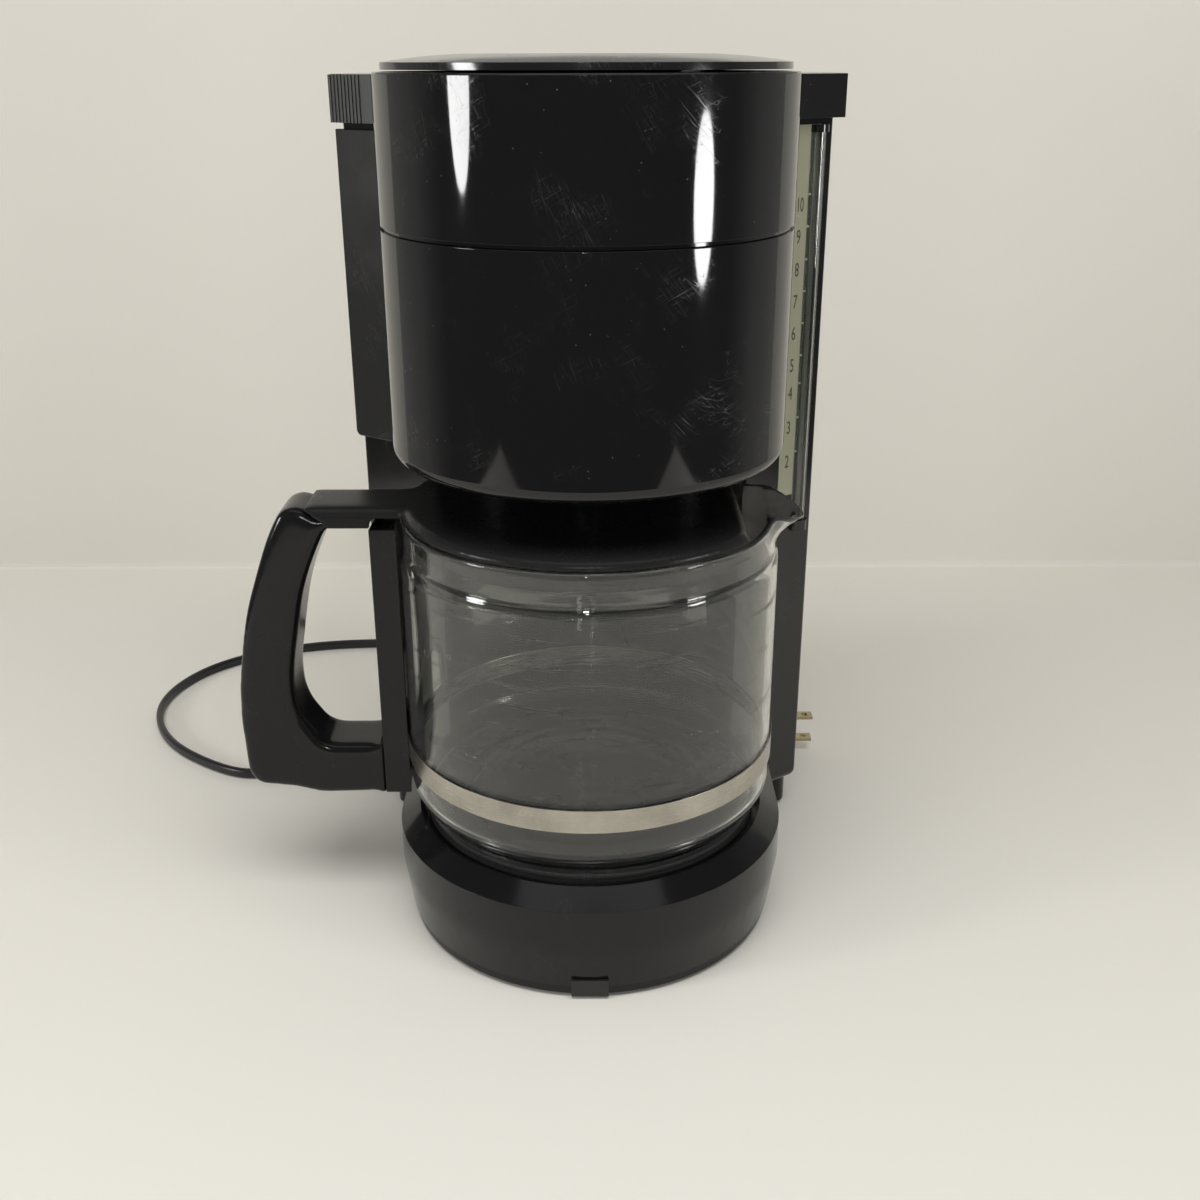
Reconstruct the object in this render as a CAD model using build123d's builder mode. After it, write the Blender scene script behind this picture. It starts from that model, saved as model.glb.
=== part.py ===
from build123d import *
import os
from math import atan, atan2, cos, degrees, hypot, pi, radians, sin, sqrt, tan

# Drip coffee maker: a round filter drum that swings out in front of a water
# tower, a glass jug on a warming plate, and a thin lid over drum and tank.
# Millimetres, +Z up. Sketches are laid out from the drum's own upright axis;
# AXIS_X and AXIS_Y put that axis where the bare machine's bounding box is
# centred on the origin.

# ---- driving dimensions -------------------------------------------------
FIT = 0.3                   # seating gap between neighbouring pieces
SLIP = 0.05                 # radial clearance of a pin in its hole
WALL = 2.5                  # moulded housing wall

DRUM_R = 75.0               # filter drum, outside
DRUM_BOTTOM = 200.6
DRUM_TOP = 336.8
DRUM_SEAM = 284.7           # top of the lower shell
SEAM_GAP = 1.5              # groove between lower shell and collar
DRUM_EDGE = 5.5             # rounding of the drum's bottom edge

BASE_R = 81.0               # round base, at its widest
BASE_FOOT_R = 77.0          # and where it meets the table
BASE_WAIST_Z = 27.0         # above this the wall is upright
BASE_EDGE_Z = 42.0          # foot of the slanted ring
RING_TOP_Z = 48.5           # its inner edge
PLATE_WELL_R = 71.5         # well that the warming plate sits in
PLATE_R = 69.5
PLATE_TOP = 53.0
PLATE_T = 1.6
PAN_BOTTOM = 2.0            # underside of the base pan
PAN_SEAM = 6.0              # pan to base seam
PAN_T = 2.5

TOWER_HALF = 98.5           # water tower, half width
TOWER_SIDE_Y = 66.0         # where its sides turn into the slanted front faces
TOWER_BACK = 116.0
TOWER_BOTTOM = 17.0
TOWER_TOP = 332.3
FACE_ANGLE = 35.0           # slant of the front faces
NICHE_R = 80.0              # hollow front that takes drum and jug
PLINTH_INSET = 3.5
PLINTH_FRONT = 68.0

COVER_HALF = TOWER_HALF + 4.5   # top cover, half width over its side skirts
COVER_SKIRT_Z = 319.0
COVER_TOP = 335.4           # shoulders beside the disc
COVER_T = 2.5
DISC_R = DRUM_R - 3.2
DISC_BOTTOM = 337.5
DISC_EDGE = 339.8           # top of its upright edge
CROWN_R = 45.0              # flat middle that the dome rises to
DISC_CROWN = 342.4
DISC_T = 1.5
HINGE_Y = 111.0             # cover hinge
HINGE_Z = 328.5
HINGE_PIN_R = 2.0

SWING_X = 77.0              # upright hinge that the drum swings on
SWING_Y = 51.0
KNUCKLE_R = 5.0
SWING_PIN_R = 2.5
KNUCKLE_POCKET = 7.5
LUG_H = 20.0
LUG_LOW_Z = 216.0
LUG_HIGH_Z = 288.5
EAR_T = 6.0

TANK_FLOOR = 156.0
TANK_TOP = 314.0
TANK_T = 1.8
RISER_X = 34.0              # hose and riser stand each side of the middle
RISER_Y = 94.0
HOSE_R = 6.5
TUBE_R = 4.5
HOSE_RUN_Z = 20.0

JUG_R = 75.2                # glass, outside
JUG_T = 2.2
JUG_CORNER = 12.0
JUG_LIP_R = JUG_R - 1.2
JUG_RIM_Z = 176.0
SPOUT_REACH = JUG_R + 9.6
BAND_Z = 73.8
BAND_H = 9.6
BAND_T = 0.7
LID_R = JUG_LIP_R - 0.6
LID_TOP = 180.8
LID_MOUTH = 59.0            # pouring mouth: the lid stops here on the spout's side
LID_ARM_HALF = 14.5
LID_BOSS_TOP = 184.5
HANDLE_REACH = 143.7
HANDLE_HALF = 13.0

VALVE_TRAVEL = 3.5          # how far the drip valve drops when the jug leaves
VALVE_FOOT = LID_BOSS_TOP + 0.4

CORD_R = 2.75
CORD_EXIT_Y = 97.0
CORD_EXIT_Z = 10.5
SLEEVE_L = 24.0
PLUG_Z = 13.5
PLUG_Y = 126.0
PLUG_TAIL_X = 56.0
BLADE_PITCH = 12.7

SWING_ARM = hypot(SWING_X, SWING_Y)
SWING_ANGLE = degrees(atan2(SWING_Y, SWING_X))

# ---- frame --------------------------------------------------------------
AXIS_X = (HANDLE_REACH - COVER_HALF) / 2
AXIS_Y = (BASE_R - TOWER_BACK) / 2
SPINDLE = Axis((AXIS_X, AXIS_Y, 0), (0, 0, 1))
MIDDLE = Plane(origin=(AXIS_X, AXIS_Y, 0), x_dir=(1, 0, 0), z_dir=(0, -1, 0))
SIDE = Plane(origin=(AXIS_X, AXIS_Y, 0), x_dir=(0, 1, 0), z_dir=(1, 0, 0))
SLANT_U = (cos(radians(FACE_ANGLE)), sin(radians(FACE_ANGLE)))
LEFT_FACE = Plane(
    origin=(AXIS_X - TOWER_HALF, AXIS_Y + TOWER_SIDE_Y, 0),
    x_dir=(SLANT_U[0], -SLANT_U[1], 0),
    z_dir=(-SLANT_U[1], -SLANT_U[0], 0),
)
RIGHT_FACE = Plane(
    origin=(AXIS_X + TOWER_HALF, AXIS_Y + TOWER_SIDE_Y, 0),
    x_dir=(SLANT_U[0], SLANT_U[1], 0),
    z_dir=(SLANT_U[1], -SLANT_U[0], 0),
)

os.makedirs("parts", exist_ok=True)


def level(height):
    """Horizontal plane at a height, centred on the drum's axis."""
    return Plane(origin=(AXIS_X, AXIS_Y, height))


def spot(x, y, z):
    """A point given from the drum's axis."""
    return Vector(AXIS_X + x, AXIS_Y + y, z)


def base_outline(radius, back):
    """Round front with straight sides running back under the tower."""
    Circle(radius)
    with Locations((0, back / 2)):
        Rectangle(2 * radius, back)


def tower_outline(inset, back, niche):
    """Tower in plan: slanted front faces, and the round niche cut from the front."""
    slope = tan(radians(FACE_ANGLE))
    half = TOWER_HALF - inset
    front = TOWER_SIDE_Y + inset * (1 - sin(radians(FACE_ANGLE))) / cos(radians(FACE_ANGLE))
    inner = 0.72 * NICHE_R
    inner_y = front - (half - inner) * slope
    Polygon((-half, back), (-half, front), (-inner, inner_y), (inner, inner_y),
            (half, front), (half, back), align=None)
    Circle(niche, mode=Mode.SUBTRACT)


def hinge_outline(reach):
    """Room for the hinge knuckle and for the arm that joins it to the drum."""
    with Locations((SWING_X, SWING_Y)):
        Circle(reach)
        Rectangle(SWING_ARM - NICHE_R + 2.0, 2 * reach, align=(Align.MAX, Align.CENTER),
                  rotation=SWING_ANGLE)


def route(points, radius):
    """Straight runs joined by arcs of one radius, for hoses and leads."""
    return FilletPolyline(*[spot(*p) for p in points], radius=radius)


# ---- base ---------------------------------------------------------------
BASE_SEAM_R = BASE_FOOT_R + (BASE_R - BASE_FOOT_R) * 0.25
PLINTH_BACK = TOWER_BACK - PLINTH_INSET
PLINTH_HALF = TOWER_HALF - PLINTH_INSET
PLINTH_LIP = TOWER_BOTTOM + 5.0
LEDGE_R = 64.0
LEDGE_Z = 46.7
BASE_BACK = PLINTH_BACK


def plinth_outline(inset, front):
    """Foot of the tower, set in from the tower's sides."""
    depth = PLINTH_BACK - inset - front
    with Locations((0, front + depth / 2)):
        RectangleRounded(2 * (PLINTH_HALF - inset), depth, 7.0)


with BuildPart() as base_shell:
    with BuildSketch(level(PAN_SEAM)):
        base_outline(BASE_SEAM_R, BASE_BACK)
    with BuildSketch(level(BASE_WAIST_Z)):
        base_outline(BASE_R, BASE_BACK)
    loft()
    with BuildSketch(level(BASE_WAIST_Z)):
        base_outline(BASE_R, BASE_BACK)
    extrude(amount=BASE_EDGE_Z - BASE_WAIST_Z)
    with BuildSketch(level(BASE_EDGE_Z)):
        base_outline(BASE_R, BASE_BACK)
    with BuildSketch(level(RING_TOP_Z)):
        base_outline(PLATE_WELL_R + 1.2, BASE_BACK)
    loft()
    with BuildSketch(level(PAN_SEAM)):
        plinth_outline(0, PLINTH_FRONT)
    extrude(amount=PLINTH_LIP - PAN_SEAM)
    # hollow inside, open below
    with BuildSketch(level(PAN_SEAM)):
        base_outline(BASE_SEAM_R - WALL, BASE_BACK - WALL)
        plinth_outline(WALL, PLINTH_FRONT)
    extrude(amount=PLINTH_LIP - PAN_SEAM, mode=Mode.SUBTRACT)
    with BuildSketch(level(PLINTH_LIP)):
        base_outline(BASE_SEAM_R - WALL, BASE_BACK - WALL)
    extrude(amount=LEDGE_Z - 2.0 - PLINTH_LIP, mode=Mode.SUBTRACT)
    # well and ledge for the plate
    with BuildSketch(level(LEDGE_Z)):
        Circle(PLATE_WELL_R)
    extrude(amount=RING_TOP_Z, mode=Mode.SUBTRACT)
    with BuildSketch(level(LEDGE_Z - 5.0)):
        Circle(LEDGE_R)
    extrude(amount=RING_TOP_Z, mode=Mode.SUBTRACT)
    # passage up into the tower
    with BuildSketch(level(LEDGE_Z - 5.0)):
        with Locations((0, (NICHE_R + 5.0 + PLINTH_BACK) / 2)):
            Rectangle(140.0, PLINTH_BACK - NICHE_R - 8.0)
    extrude(amount=RING_TOP_Z, mode=Mode.SUBTRACT)
    # cord exit on the left
    with BuildSketch(Plane(origin=spot(-PLINTH_HALF, CORD_EXIT_Y, CORD_EXIT_Z),
                           x_dir=(0, 1, 0), z_dir=(1, 0, 0))):
        Circle(4.4)
    extrude(amount=WALL * 2, both=True, mode=Mode.SUBTRACT)
base_shell.part.label = "base_shell"
export_step(base_shell.part, "parts/base_shell.step")

SCREW_POSTS = [(-56.0, -34.0), (56.0, -34.0), (-82.0, 104.0), (82.0, 104.0)]
FOOT_SPOTS = [(-60.0, -14.0), (60.0, -14.0), (-84.0, 88.0), (84.0, 88.0)]
FOOT_R = 6.5

with BuildPart() as base_pan:
    with BuildSketch(level(PAN_BOTTOM)):
        base_outline(BASE_FOOT_R, BASE_BACK)
        plinth_outline(0, PLINTH_FRONT)
    extrude(amount=PAN_SEAM - PAN_BOTTOM - 0.2)
    with BuildSketch(level(PAN_BOTTOM + PAN_T)):
        base_outline(BASE_FOOT_R - WALL, BASE_BACK - WALL)
        plinth_outline(WALL, PLINTH_FRONT)
    extrude(amount=PAN_SEAM, mode=Mode.SUBTRACT)
    # screw holes, foot sockets and cooling slots
    with BuildSketch(level(0)):
        with Locations(*SCREW_POSTS):
            Circle(2.2)
        with Locations((0, -6)):
            with GridLocations(12.0, 24.0, 5, 2):
                SlotOverall(18.0, 3.0, rotation=90)
    extrude(amount=PAN_SEAM, mode=Mode.SUBTRACT)
    with BuildSketch(level(PAN_BOTTOM)):
        with Locations(*FOOT_SPOTS):
            Circle(FOOT_R + 0.2)
    extrude(amount=1.0, mode=Mode.SUBTRACT)
base_pan.part.label = "base_pan"
export_step(base_pan.part, "parts/base_pan.step")

with BuildPart() as rubber_feet:
    with BuildSketch(level(0)):
        with Locations(*FOOT_SPOTS):
            Circle(FOOT_R)
    extrude(amount=PAN_BOTTOM + 0.9)
rubber_feet.part.label = "rubber_feet"
export_step(rubber_feet.part, "parts/rubber_feet.step")

FRONT_FOOT_W = 14.5
FRONT_FOOT_H = 10.0
BASE_LEAN = degrees(atan((BASE_R - BASE_SEAM_R) / (BASE_WAIST_Z - PAN_SEAM)))
with BuildPart() as front_foot:
    with BuildSketch(SIDE):
        Polygon((-BASE_SEAM_R + 2.8, 0), (-BASE_SEAM_R - 0.2, 1.6),
                (-BASE_SEAM_R - 1.6, FRONT_FOOT_H), (-BASE_SEAM_R + 6.0, FRONT_FOOT_H),
                (-BASE_SEAM_R + 9.0, 0), align=None)
    extrude(amount=FRONT_FOOT_W / 2, both=True)
    # hooked over the edge of pan and base, close to the leaning wall
    with BuildSketch(level(PAN_BOTTOM - 0.1)):
        Circle(BASE_SEAM_R + 0.1 - (PAN_SEAM - PAN_BOTTOM) * tan(radians(BASE_LEAN)))
    extrude(amount=FRONT_FOOT_H, taper=-BASE_LEAN, mode=Mode.SUBTRACT)
front_foot.part.label = "front_foot"
export_step(front_foot.part, "parts/front_foot.step")

with BuildPart() as pan_screws:
    with BuildSketch(level(PAN_BOTTOM - 0.6)):
        with Locations(*SCREW_POSTS):
            Circle(3.6)
    extrude(amount=0.6)
    with BuildSketch(level(PAN_BOTTOM)):
        with Locations(*SCREW_POSTS):
            Circle(1.9)
    extrude(amount=12.0)
pan_screws.part.label = "pan_screws"
export_step(pan_screws.part, "parts/pan_screws.step")

# ---- warming plate and boiler -------------------------------------------
STUD_X = 20.0
STUD_Y = 18.0
with BuildPart() as warming_plate:
    with BuildSketch(MIDDLE):
        with BuildLine():
            Polyline((0, PLATE_TOP - PLATE_T), (PLATE_R - 1.6, PLATE_TOP - PLATE_T),
                     (PLATE_R - 1.6, LEDGE_Z + 2.7), (PLATE_R, LEDGE_Z + 2.7),
                     (PLATE_R, PLATE_TOP - 1.2), (PLATE_R - 1.2, PLATE_TOP),
                     (0, PLATE_TOP), close=True)
        make_face()
    revolve(axis=SPINDLE)
    with BuildSketch(level(42.0)):
        with Locations((-STUD_X, STUD_Y), (STUD_X, STUD_Y)):
            Circle(4.0)
            Circle(2.0, mode=Mode.SUBTRACT)
    extrude(amount=PLATE_TOP - PLATE_T - 42.0)
warming_plate.part.label = "warming_plate"
export_step(warming_plate.part, "parts/warming_plate.step")

with BuildPart() as plate_seal:
    with BuildSketch(level(LEDGE_Z + 0.2)):
        Circle(PLATE_R - 0.1)
        Circle(LEDGE_R + 1.2, mode=Mode.SUBTRACT)
    extrude(amount=2.3)
plate_seal.part.label = "plate_seal"
export_step(plate_seal.part, "parts/plate_seal.step")

BOILER_TOP = PLATE_TOP - PLATE_T - FIT
ROD_R = 4.2
ROD_LOOP = 48.0
TUBE_LOOP = 37.0
STUB_Y = 40.0
STUB_BEND = 12.0


def horseshoe(loop, leg, height):
    """Half ring round the front with two legs running back."""
    CenterArc(spot(0, 0, height), loop, 180, 180)
    Line(spot(-loop, 0, height), spot(-loop, leg, height))
    Line(spot(loop, 0, height), spot(loop, leg, height))


with BuildPart() as heater_rod:
    with BuildLine():
        horseshoe(ROD_LOOP, 26.0, BOILER_TOP - ROD_R)
    with BuildSketch(Plane(origin=spot(-ROD_LOOP, 26.0, BOILER_TOP - ROD_R),
                           z_dir=(0, -1, 0))):
        Circle(ROD_R)
    sweep()
    with BuildSketch(Plane(origin=spot(0, 26.0, BOILER_TOP - ROD_R), x_dir=(-1, 0, 0),
                           z_dir=(0, 1, 0))):
        with Locations((-ROD_LOOP, 0), (ROD_LOOP, 0)):
            Circle(1.5)
    extrude(amount=9.0)
heater_rod.part.label = "heater_rod"
export_step(heater_rod.part, "parts/heater_rod.step")

TUBE_Z = BOILER_TOP - TUBE_R
STUB_END = HOSE_RUN_Z + 9.0
with BuildPart() as boiler_tube:
    with BuildLine():
        horseshoe(TUBE_LOOP, STUB_Y - STUB_BEND, TUBE_Z)
        for side in (-TUBE_LOOP, TUBE_LOOP):
            bend_start = spot(side, STUB_Y - STUB_BEND, TUBE_Z)
            bend_end = spot(side, STUB_Y, TUBE_Z - STUB_BEND)
            TangentArc(bend_start, bend_end, tangent=(0, 1, 0))
            Line(bend_end, spot(side, STUB_Y, STUB_END))
    with BuildSketch(Plane(origin=spot(-TUBE_LOOP, STUB_Y, STUB_END), z_dir=(0, 0, 1))):
        Circle(TUBE_R)
        Circle(TUBE_R - 1.0, mode=Mode.SUBTRACT)
    sweep()
boiler_tube.part.label = "boiler_tube"
export_step(boiler_tube.part, "parts/boiler_tube.step")

CLAMP_TOP = BOILER_TOP - 2 * max(ROD_R, TUBE_R) - 0.1
with BuildPart() as heater_clamp:
    with BuildSketch(level(CLAMP_TOP - 1.7)):
        with Locations((0, STUD_Y)):
            RectangleRounded(2 * ROD_LOOP + 12.0, 9.0, 2.0)
        with Locations((-STUD_X, STUD_Y), (STUD_X, STUD_Y)):
            Circle(2.1, mode=Mode.SUBTRACT)
    extrude(amount=1.7 - 0.1)
heater_clamp.part.label = "heater_clamp"
export_step(heater_clamp.part, "parts/heater_clamp.step")

with BuildPart() as clamp_screws:
    with BuildSketch(level(CLAMP_TOP - 4.3)):
        with Locations((-STUD_X, STUD_Y), (STUD_X, STUD_Y)):
            RegularPolygon(3.6, 6)
    extrude(amount=2.6)
    with BuildSketch(level(CLAMP_TOP - 1.7)):
        with Locations((-STUD_X, STUD_Y), (STUD_X, STUD_Y)):
            Circle(1.9)
    extrude(amount=9.0)
clamp_screws.part.label = "clamp_screws"
export_step(clamp_screws.part, "parts/clamp_screws.step")

with BuildPart() as thermostat:
    with BuildSketch(level(BOILER_TOP - 4.0)):
        Circle(8.5)
    extrude(amount=4.0)
    with BuildSketch(level(BOILER_TOP - 9.5)):
        Circle(6.8)
        with Locations((-7.5, 0), (7.5, 0)):
            Rectangle(6.0, 6.0)
    extrude(amount=5.5)
thermostat.part.label = "thermostat"
export_step(thermostat.part, "parts/thermostat.step")

with BuildPart() as thermal_fuse:
    with BuildSketch(Plane(origin=spot(0, -26.0, BOILER_TOP - 2.2), z_dir=(0, 1, 0))):
        Circle(2.2)
    extrude(amount=13.0)
thermal_fuse.part.label = "thermal_fuse"
export_step(thermal_fuse.part, "parts/thermal_fuse.step")

# ---- hoses, valve and riser ---------------------------------------------
HOSE_BEND = 11.0
HOSE_BORE = TUBE_R + 0.1
OUTLET_STUB = TANK_FLOOR - 14.0
RISER_FOOT = 112.0
RISER_R = TUBE_R
RISER_HEAD = DISC_BOTTOM + 0.2


def hose_points(side, top):
    """From a boiler stub down, back under the tower and up to the given height."""
    return [(side * TUBE_LOOP, STUB_Y, STUB_END + 5.0),
            (side * TUBE_LOOP, STUB_Y, HOSE_RUN_Z - 8.0),
            (side * RISER_X, RISER_Y, HOSE_RUN_Z - 8.0),
            (side * RISER_X, RISER_Y, top)]


with BuildPart() as inlet_hose:
    with BuildLine():
        route(hose_points(1, OUTLET_STUB + 9.0), HOSE_BEND)
    with BuildSketch(Plane(origin=spot(TUBE_LOOP, STUB_Y, STUB_END + 5.0), z_dir=(0, 0, -1))):
        Circle(HOSE_R)
        Circle(HOSE_BORE, mode=Mode.SUBTRACT)
    sweep()
inlet_hose.part.label = "inlet_hose"
export_step(inlet_hose.part, "parts/inlet_hose.step")

with BuildPart() as outlet_hose:
    with BuildLine():
        route(hose_points(-1, RISER_FOOT + 10.0), HOSE_BEND)
    with BuildSketch(Plane(origin=spot(-TUBE_LOOP, STUB_Y, STUB_END + 5.0), z_dir=(0, 0, -1))):
        Circle(HOSE_R)
        Circle(HOSE_BORE, mode=Mode.SUBTRACT)
    sweep()
outlet_hose.part.label = "outlet_hose"
export_step(outlet_hose.part, "parts/outlet_hose.step")

CLIP_PLACES = [(TUBE_LOOP, STUB_Y, STUB_END), (-TUBE_LOOP, STUB_Y, STUB_END),
               (RISER_X, RISER_Y, OUTLET_STUB + 3.0), (-RISER_X, RISER_Y, RISER_FOOT + 3.0)]
with BuildPart() as hose_clips:
    for x, y, z in CLIP_PLACES:
        with BuildSketch(level(z)):
            with Locations((x, y)):
                Circle(HOSE_R + 0.9)
                Circle(HOSE_R + 0.05, mode=Mode.SUBTRACT)
            with Locations((x, y + HOSE_R + 2.2)):
                Rectangle(4.0, 3.2)
        extrude(amount=3.0)
hose_clips.part.label = "hose_clips"
export_step(hose_clips.part, "parts/hose_clips.step")

with BuildPart() as check_valve:
    with BuildSketch(level(OUTLET_STUB - 18.0)):
        with Locations((RISER_X, RISER_Y)):
            Circle(TUBE_R)
            Circle(2.4, mode=Mode.SUBTRACT)
    extrude(amount=12.0)
check_valve.part.label = "check_valve"
export_step(check_valve.part, "parts/check_valve.step")

with BuildPart() as riser_tube:
    with BuildSketch(level(RISER_FOOT)):
        with Locations((-RISER_X, RISER_Y)):
            Circle(RISER_R)
            Circle(RISER_R - 1.2, mode=Mode.SUBTRACT)
    extrude(amount=RISER_HEAD - RISER_FOOT)
riser_tube.part.label = "riser_tube"
export_step(riser_tube.part, "parts/riser_tube.step")

with BuildPart() as riser_seal:
    with BuildSketch(level(TANK_FLOOR - 1.5)):
        with Locations((-RISER_X, RISER_Y)):
            Circle(RISER_R + 3.0)
            Circle(RISER_R + 0.05, mode=Mode.SUBTRACT)
    extrude(amount=1.4)
    with BuildSketch(level(TANK_FLOOR - 0.1)):
        with Locations((-RISER_X, RISER_Y)):
            Circle(RISER_R + 1.5)
            Circle(RISER_R + 0.05, mode=Mode.SUBTRACT)
    extrude(amount=TANK_T + 0.2)
riser_seal.part.label = "riser_seal"
export_step(riser_seal.part, "parts/riser_seal.step")

# flat channel that carries the hot water over the drum
ARM_W = 22.0
ARM_TOP = DISC_CROWN - 0.4 - DISC_T - FIT
ARM_LENGTH = hypot(RISER_X, RISER_Y)
ARM_ANGLE = degrees(atan2(RISER_Y, -RISER_X))
SPRAY_R = 20.0
ARM_BOTTOM = RISER_HEAD + 0.1


def arm_outline(inset):
    """Strip from the riser to the drum's axis with a round head over the drum."""
    with Locations((-RISER_X / 2, RISER_Y / 2)):
        Rectangle(ARM_LENGTH, ARM_W - 2 * inset, rotation=ARM_ANGLE)
    with Locations((-RISER_X, RISER_Y)):
        Circle(ARM_W / 2 - inset)
    Circle(SPRAY_R - inset)


with BuildPart() as water_arm:
    with BuildSketch(level(ARM_BOTTOM)):
        arm_outline(0)
    extrude(amount=ARM_TOP - ARM_BOTTOM)
    with BuildSketch(level(ARM_BOTTOM)):
        arm_outline(1.2)
    extrude(amount=ARM_TOP - ARM_BOTTOM - 0.8, mode=Mode.SUBTRACT)
water_arm.part.label = "water_arm"
export_step(water_arm.part, "parts/water_arm.step")

with BuildPart() as spray_plate:
    with BuildSketch(level(ARM_BOTTOM + 0.1)):
        arm_outline(1.3)
        with Locations((-RISER_X, RISER_Y)):
            Circle(RISER_R - 1.2, mode=Mode.SUBTRACT)
        with PolarLocations(13.0, 8):
            Circle(1.2, mode=Mode.SUBTRACT)
        with PolarLocations(6.0, 5):
            Circle(1.2, mode=Mode.SUBTRACT)
    extrude(amount=0.8)
spray_plate.part.label = "spray_plate"
export_step(spray_plate.part, "parts/spray_plate.step")

# ---- tower --------------------------------------------------------------
SWITCH_S = 31.0             # along the left slanted face, from its outer edge
SWITCH_Z = 81.5
SWITCH_W = 8.2              # opening of the bezel
SWITCH_H = 26.6
TUBE_S = 7.5                # gauge tube along the right slanted face
GAUGE_TUBE_R = 3.0
GAUGE_SLOT_W = 8.4
GAUGE_BOTTOM = 146.0
GAUGE_TOP = 316.6
SCALE_S = 16.0              # middle of the scale strip
SCALE_W = 8.4
SCALE_BOTTOM = 163.0
BACK_SCREW_X = TOWER_HALF - 7.0
BACK_SCREWS = [(-BACK_SCREW_X, 60.0), (BACK_SCREW_X, 60.0), (-BACK_SCREW_X, 142.0),
               (BACK_SCREW_X, 142.0)]
BOSS_R = 5.0
SHELF_Z = TANK_FLOOR - 6.0
CHAMFER_Z = 5.0
BACK_TOP = HINGE_Z - 11.5

with BuildPart() as tower_shell:
    with BuildSketch(level(TOWER_BOTTOM)):
        tower_outline(0, TOWER_BACK, 10.0)
    extrude(amount=TOWER_TOP - TOWER_BOTTOM)
    corners = tower_shell.edges().filter_by(Axis.Z).filter_by_position(
        Axis.X, AXIS_X - TOWER_HALF - 1, AXIS_X - TOWER_HALF + 1)
    corners += tower_shell.edges().filter_by(Axis.Z).filter_by_position(
        Axis.X, AXIS_X + TOWER_HALF - 1, AXIS_X + TOWER_HALF + 1)
    fillet(corners, radius=2.2)
    rim = tower_shell.faces().sort_by(Axis.Z)[0].outer_wire().edges()
    fillet(rim.filter_by_position(Axis.Y, AXIS_Y + TOWER_SIDE_Y - 30, AXIS_Y + TOWER_BACK - 1),
           radius=CHAMFER_Z)
    with BuildSketch(level(TOWER_BOTTOM)):
        Circle(NICHE_R)
    extrude(amount=TOWER_TOP, mode=Mode.SUBTRACT)
    with BuildSketch(level(TOWER_BOTTOM)):
        tower_outline(WALL, TOWER_BACK + 1.0, NICHE_R + WALL)
    extrude(amount=TOWER_TOP, mode=Mode.SUBTRACT)
    # room for the base below the niche wall
    with BuildSketch(level(TOWER_BOTTOM)):
        base_outline(BASE_R + 0.4, TOWER_BACK + 5.0)
    extrude(amount=RING_TOP_Z + 0.2 - TOWER_BOTTOM, mode=Mode.SUBTRACT)
    # closed column round the swing hinge, open to the front
    with BuildSketch(level(DRUM_BOTTOM - 8.0)):
        hinge_outline(KNUCKLE_POCKET + WALL)
        Circle(NICHE_R + 0.5, mode=Mode.SUBTRACT)
    extrude(amount=TOWER_TOP - DRUM_BOTTOM + 8.0)
    with BuildSketch(level(DRUM_BOTTOM - 8.0)):
        with Locations((SWING_X, SWING_Y)):
            Rectangle(60.0, 30.0, align=(Align.CENTER, Align.MAX), rotation=FACE_ANGLE)
    extrude(amount=TOWER_TOP, mode=Mode.SUBTRACT)
    with BuildSketch(level(DRUM_BOTTOM - 4.0)):
        hinge_outline(KNUCKLE_POCKET)
    extrude(amount=TOWER_TOP, mode=Mode.SUBTRACT)
    # ears that carry the hinge pin, below and above each lug
    for lug_z in (LUG_LOW_Z, LUG_HIGH_Z):
        for ear_z in (lug_z - 0.4 - EAR_T, lug_z + LUG_H + 0.4):
            with BuildSketch(level(ear_z)):
                with Locations((SWING_X, SWING_Y)):
                    Circle(KNUCKLE_R + 0.5)
                    Rectangle(2 * KNUCKLE_R + 1.0, KNUCKLE_POCKET + 1.0,
                              align=(Align.CENTER, Align.MIN), rotation=FACE_ANGLE)
                    Circle(SWING_PIN_R + SLIP, mode=Mode.SUBTRACT)
            extrude(amount=EAR_T)
    # switch window in the left face, gauge slot and scale recess in the right one
    with BuildSketch(LEFT_FACE):
        with Locations((SWITCH_S, SWITCH_Z)):
            SlotOverall(SWITCH_H + 2.4, SWITCH_W + 1.4, rotation=90)
    extrude(amount=WALL + 0.5, both=True, mode=Mode.SUBTRACT)
    with BuildSketch(RIGHT_FACE):
        with Locations((-TUBE_S, (GAUGE_BOTTOM + GAUGE_TOP) / 2)):
            Rectangle(GAUGE_SLOT_W, GAUGE_TOP - GAUGE_BOTTOM)
    extrude(amount=2 * WALL, both=True, mode=Mode.SUBTRACT)
    with BuildSketch(RIGHT_FACE.offset(-1.0)):
        with Locations((-SCALE_S, (SCALE_BOTTOM + GAUGE_TOP) / 2)):
            Rectangle(SCALE_W + 0.2, GAUGE_TOP - SCALE_BOTTOM)
    extrude(amount=3.0, mode=Mode.SUBTRACT)
    # bosses for the back panel, shelf for the tank, holes for the cover's pins
    with BuildSketch(Plane(origin=spot(0, TOWER_BACK - WALL - 0.2, 0), x_dir=(-1, 0, 0),
                           z_dir=(0, 1, 0))):
        with Locations(*BACK_SCREWS):
            Circle(BOSS_R)
    extrude(amount=-14.0)
    with BuildSketch(level(SHELF_Z)):
        for side in (-1, 1):
            with Locations((side * (TOWER_HALF - WALL - 2.9), 90.0)):
                Rectangle(6.0, 24.0)
    extrude(amount=TANK_FLOOR - SHELF_Z - 0.2)
    with BuildSketch(Plane(origin=spot(0, TOWER_BACK - WALL - 0.2, 0), x_dir=(-1, 0, 0),
                           z_dir=(0, 1, 0))):
        with Locations(*BACK_SCREWS):
            Circle(1.9)
    extrude(amount=-12.0, mode=Mode.SUBTRACT)
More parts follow.
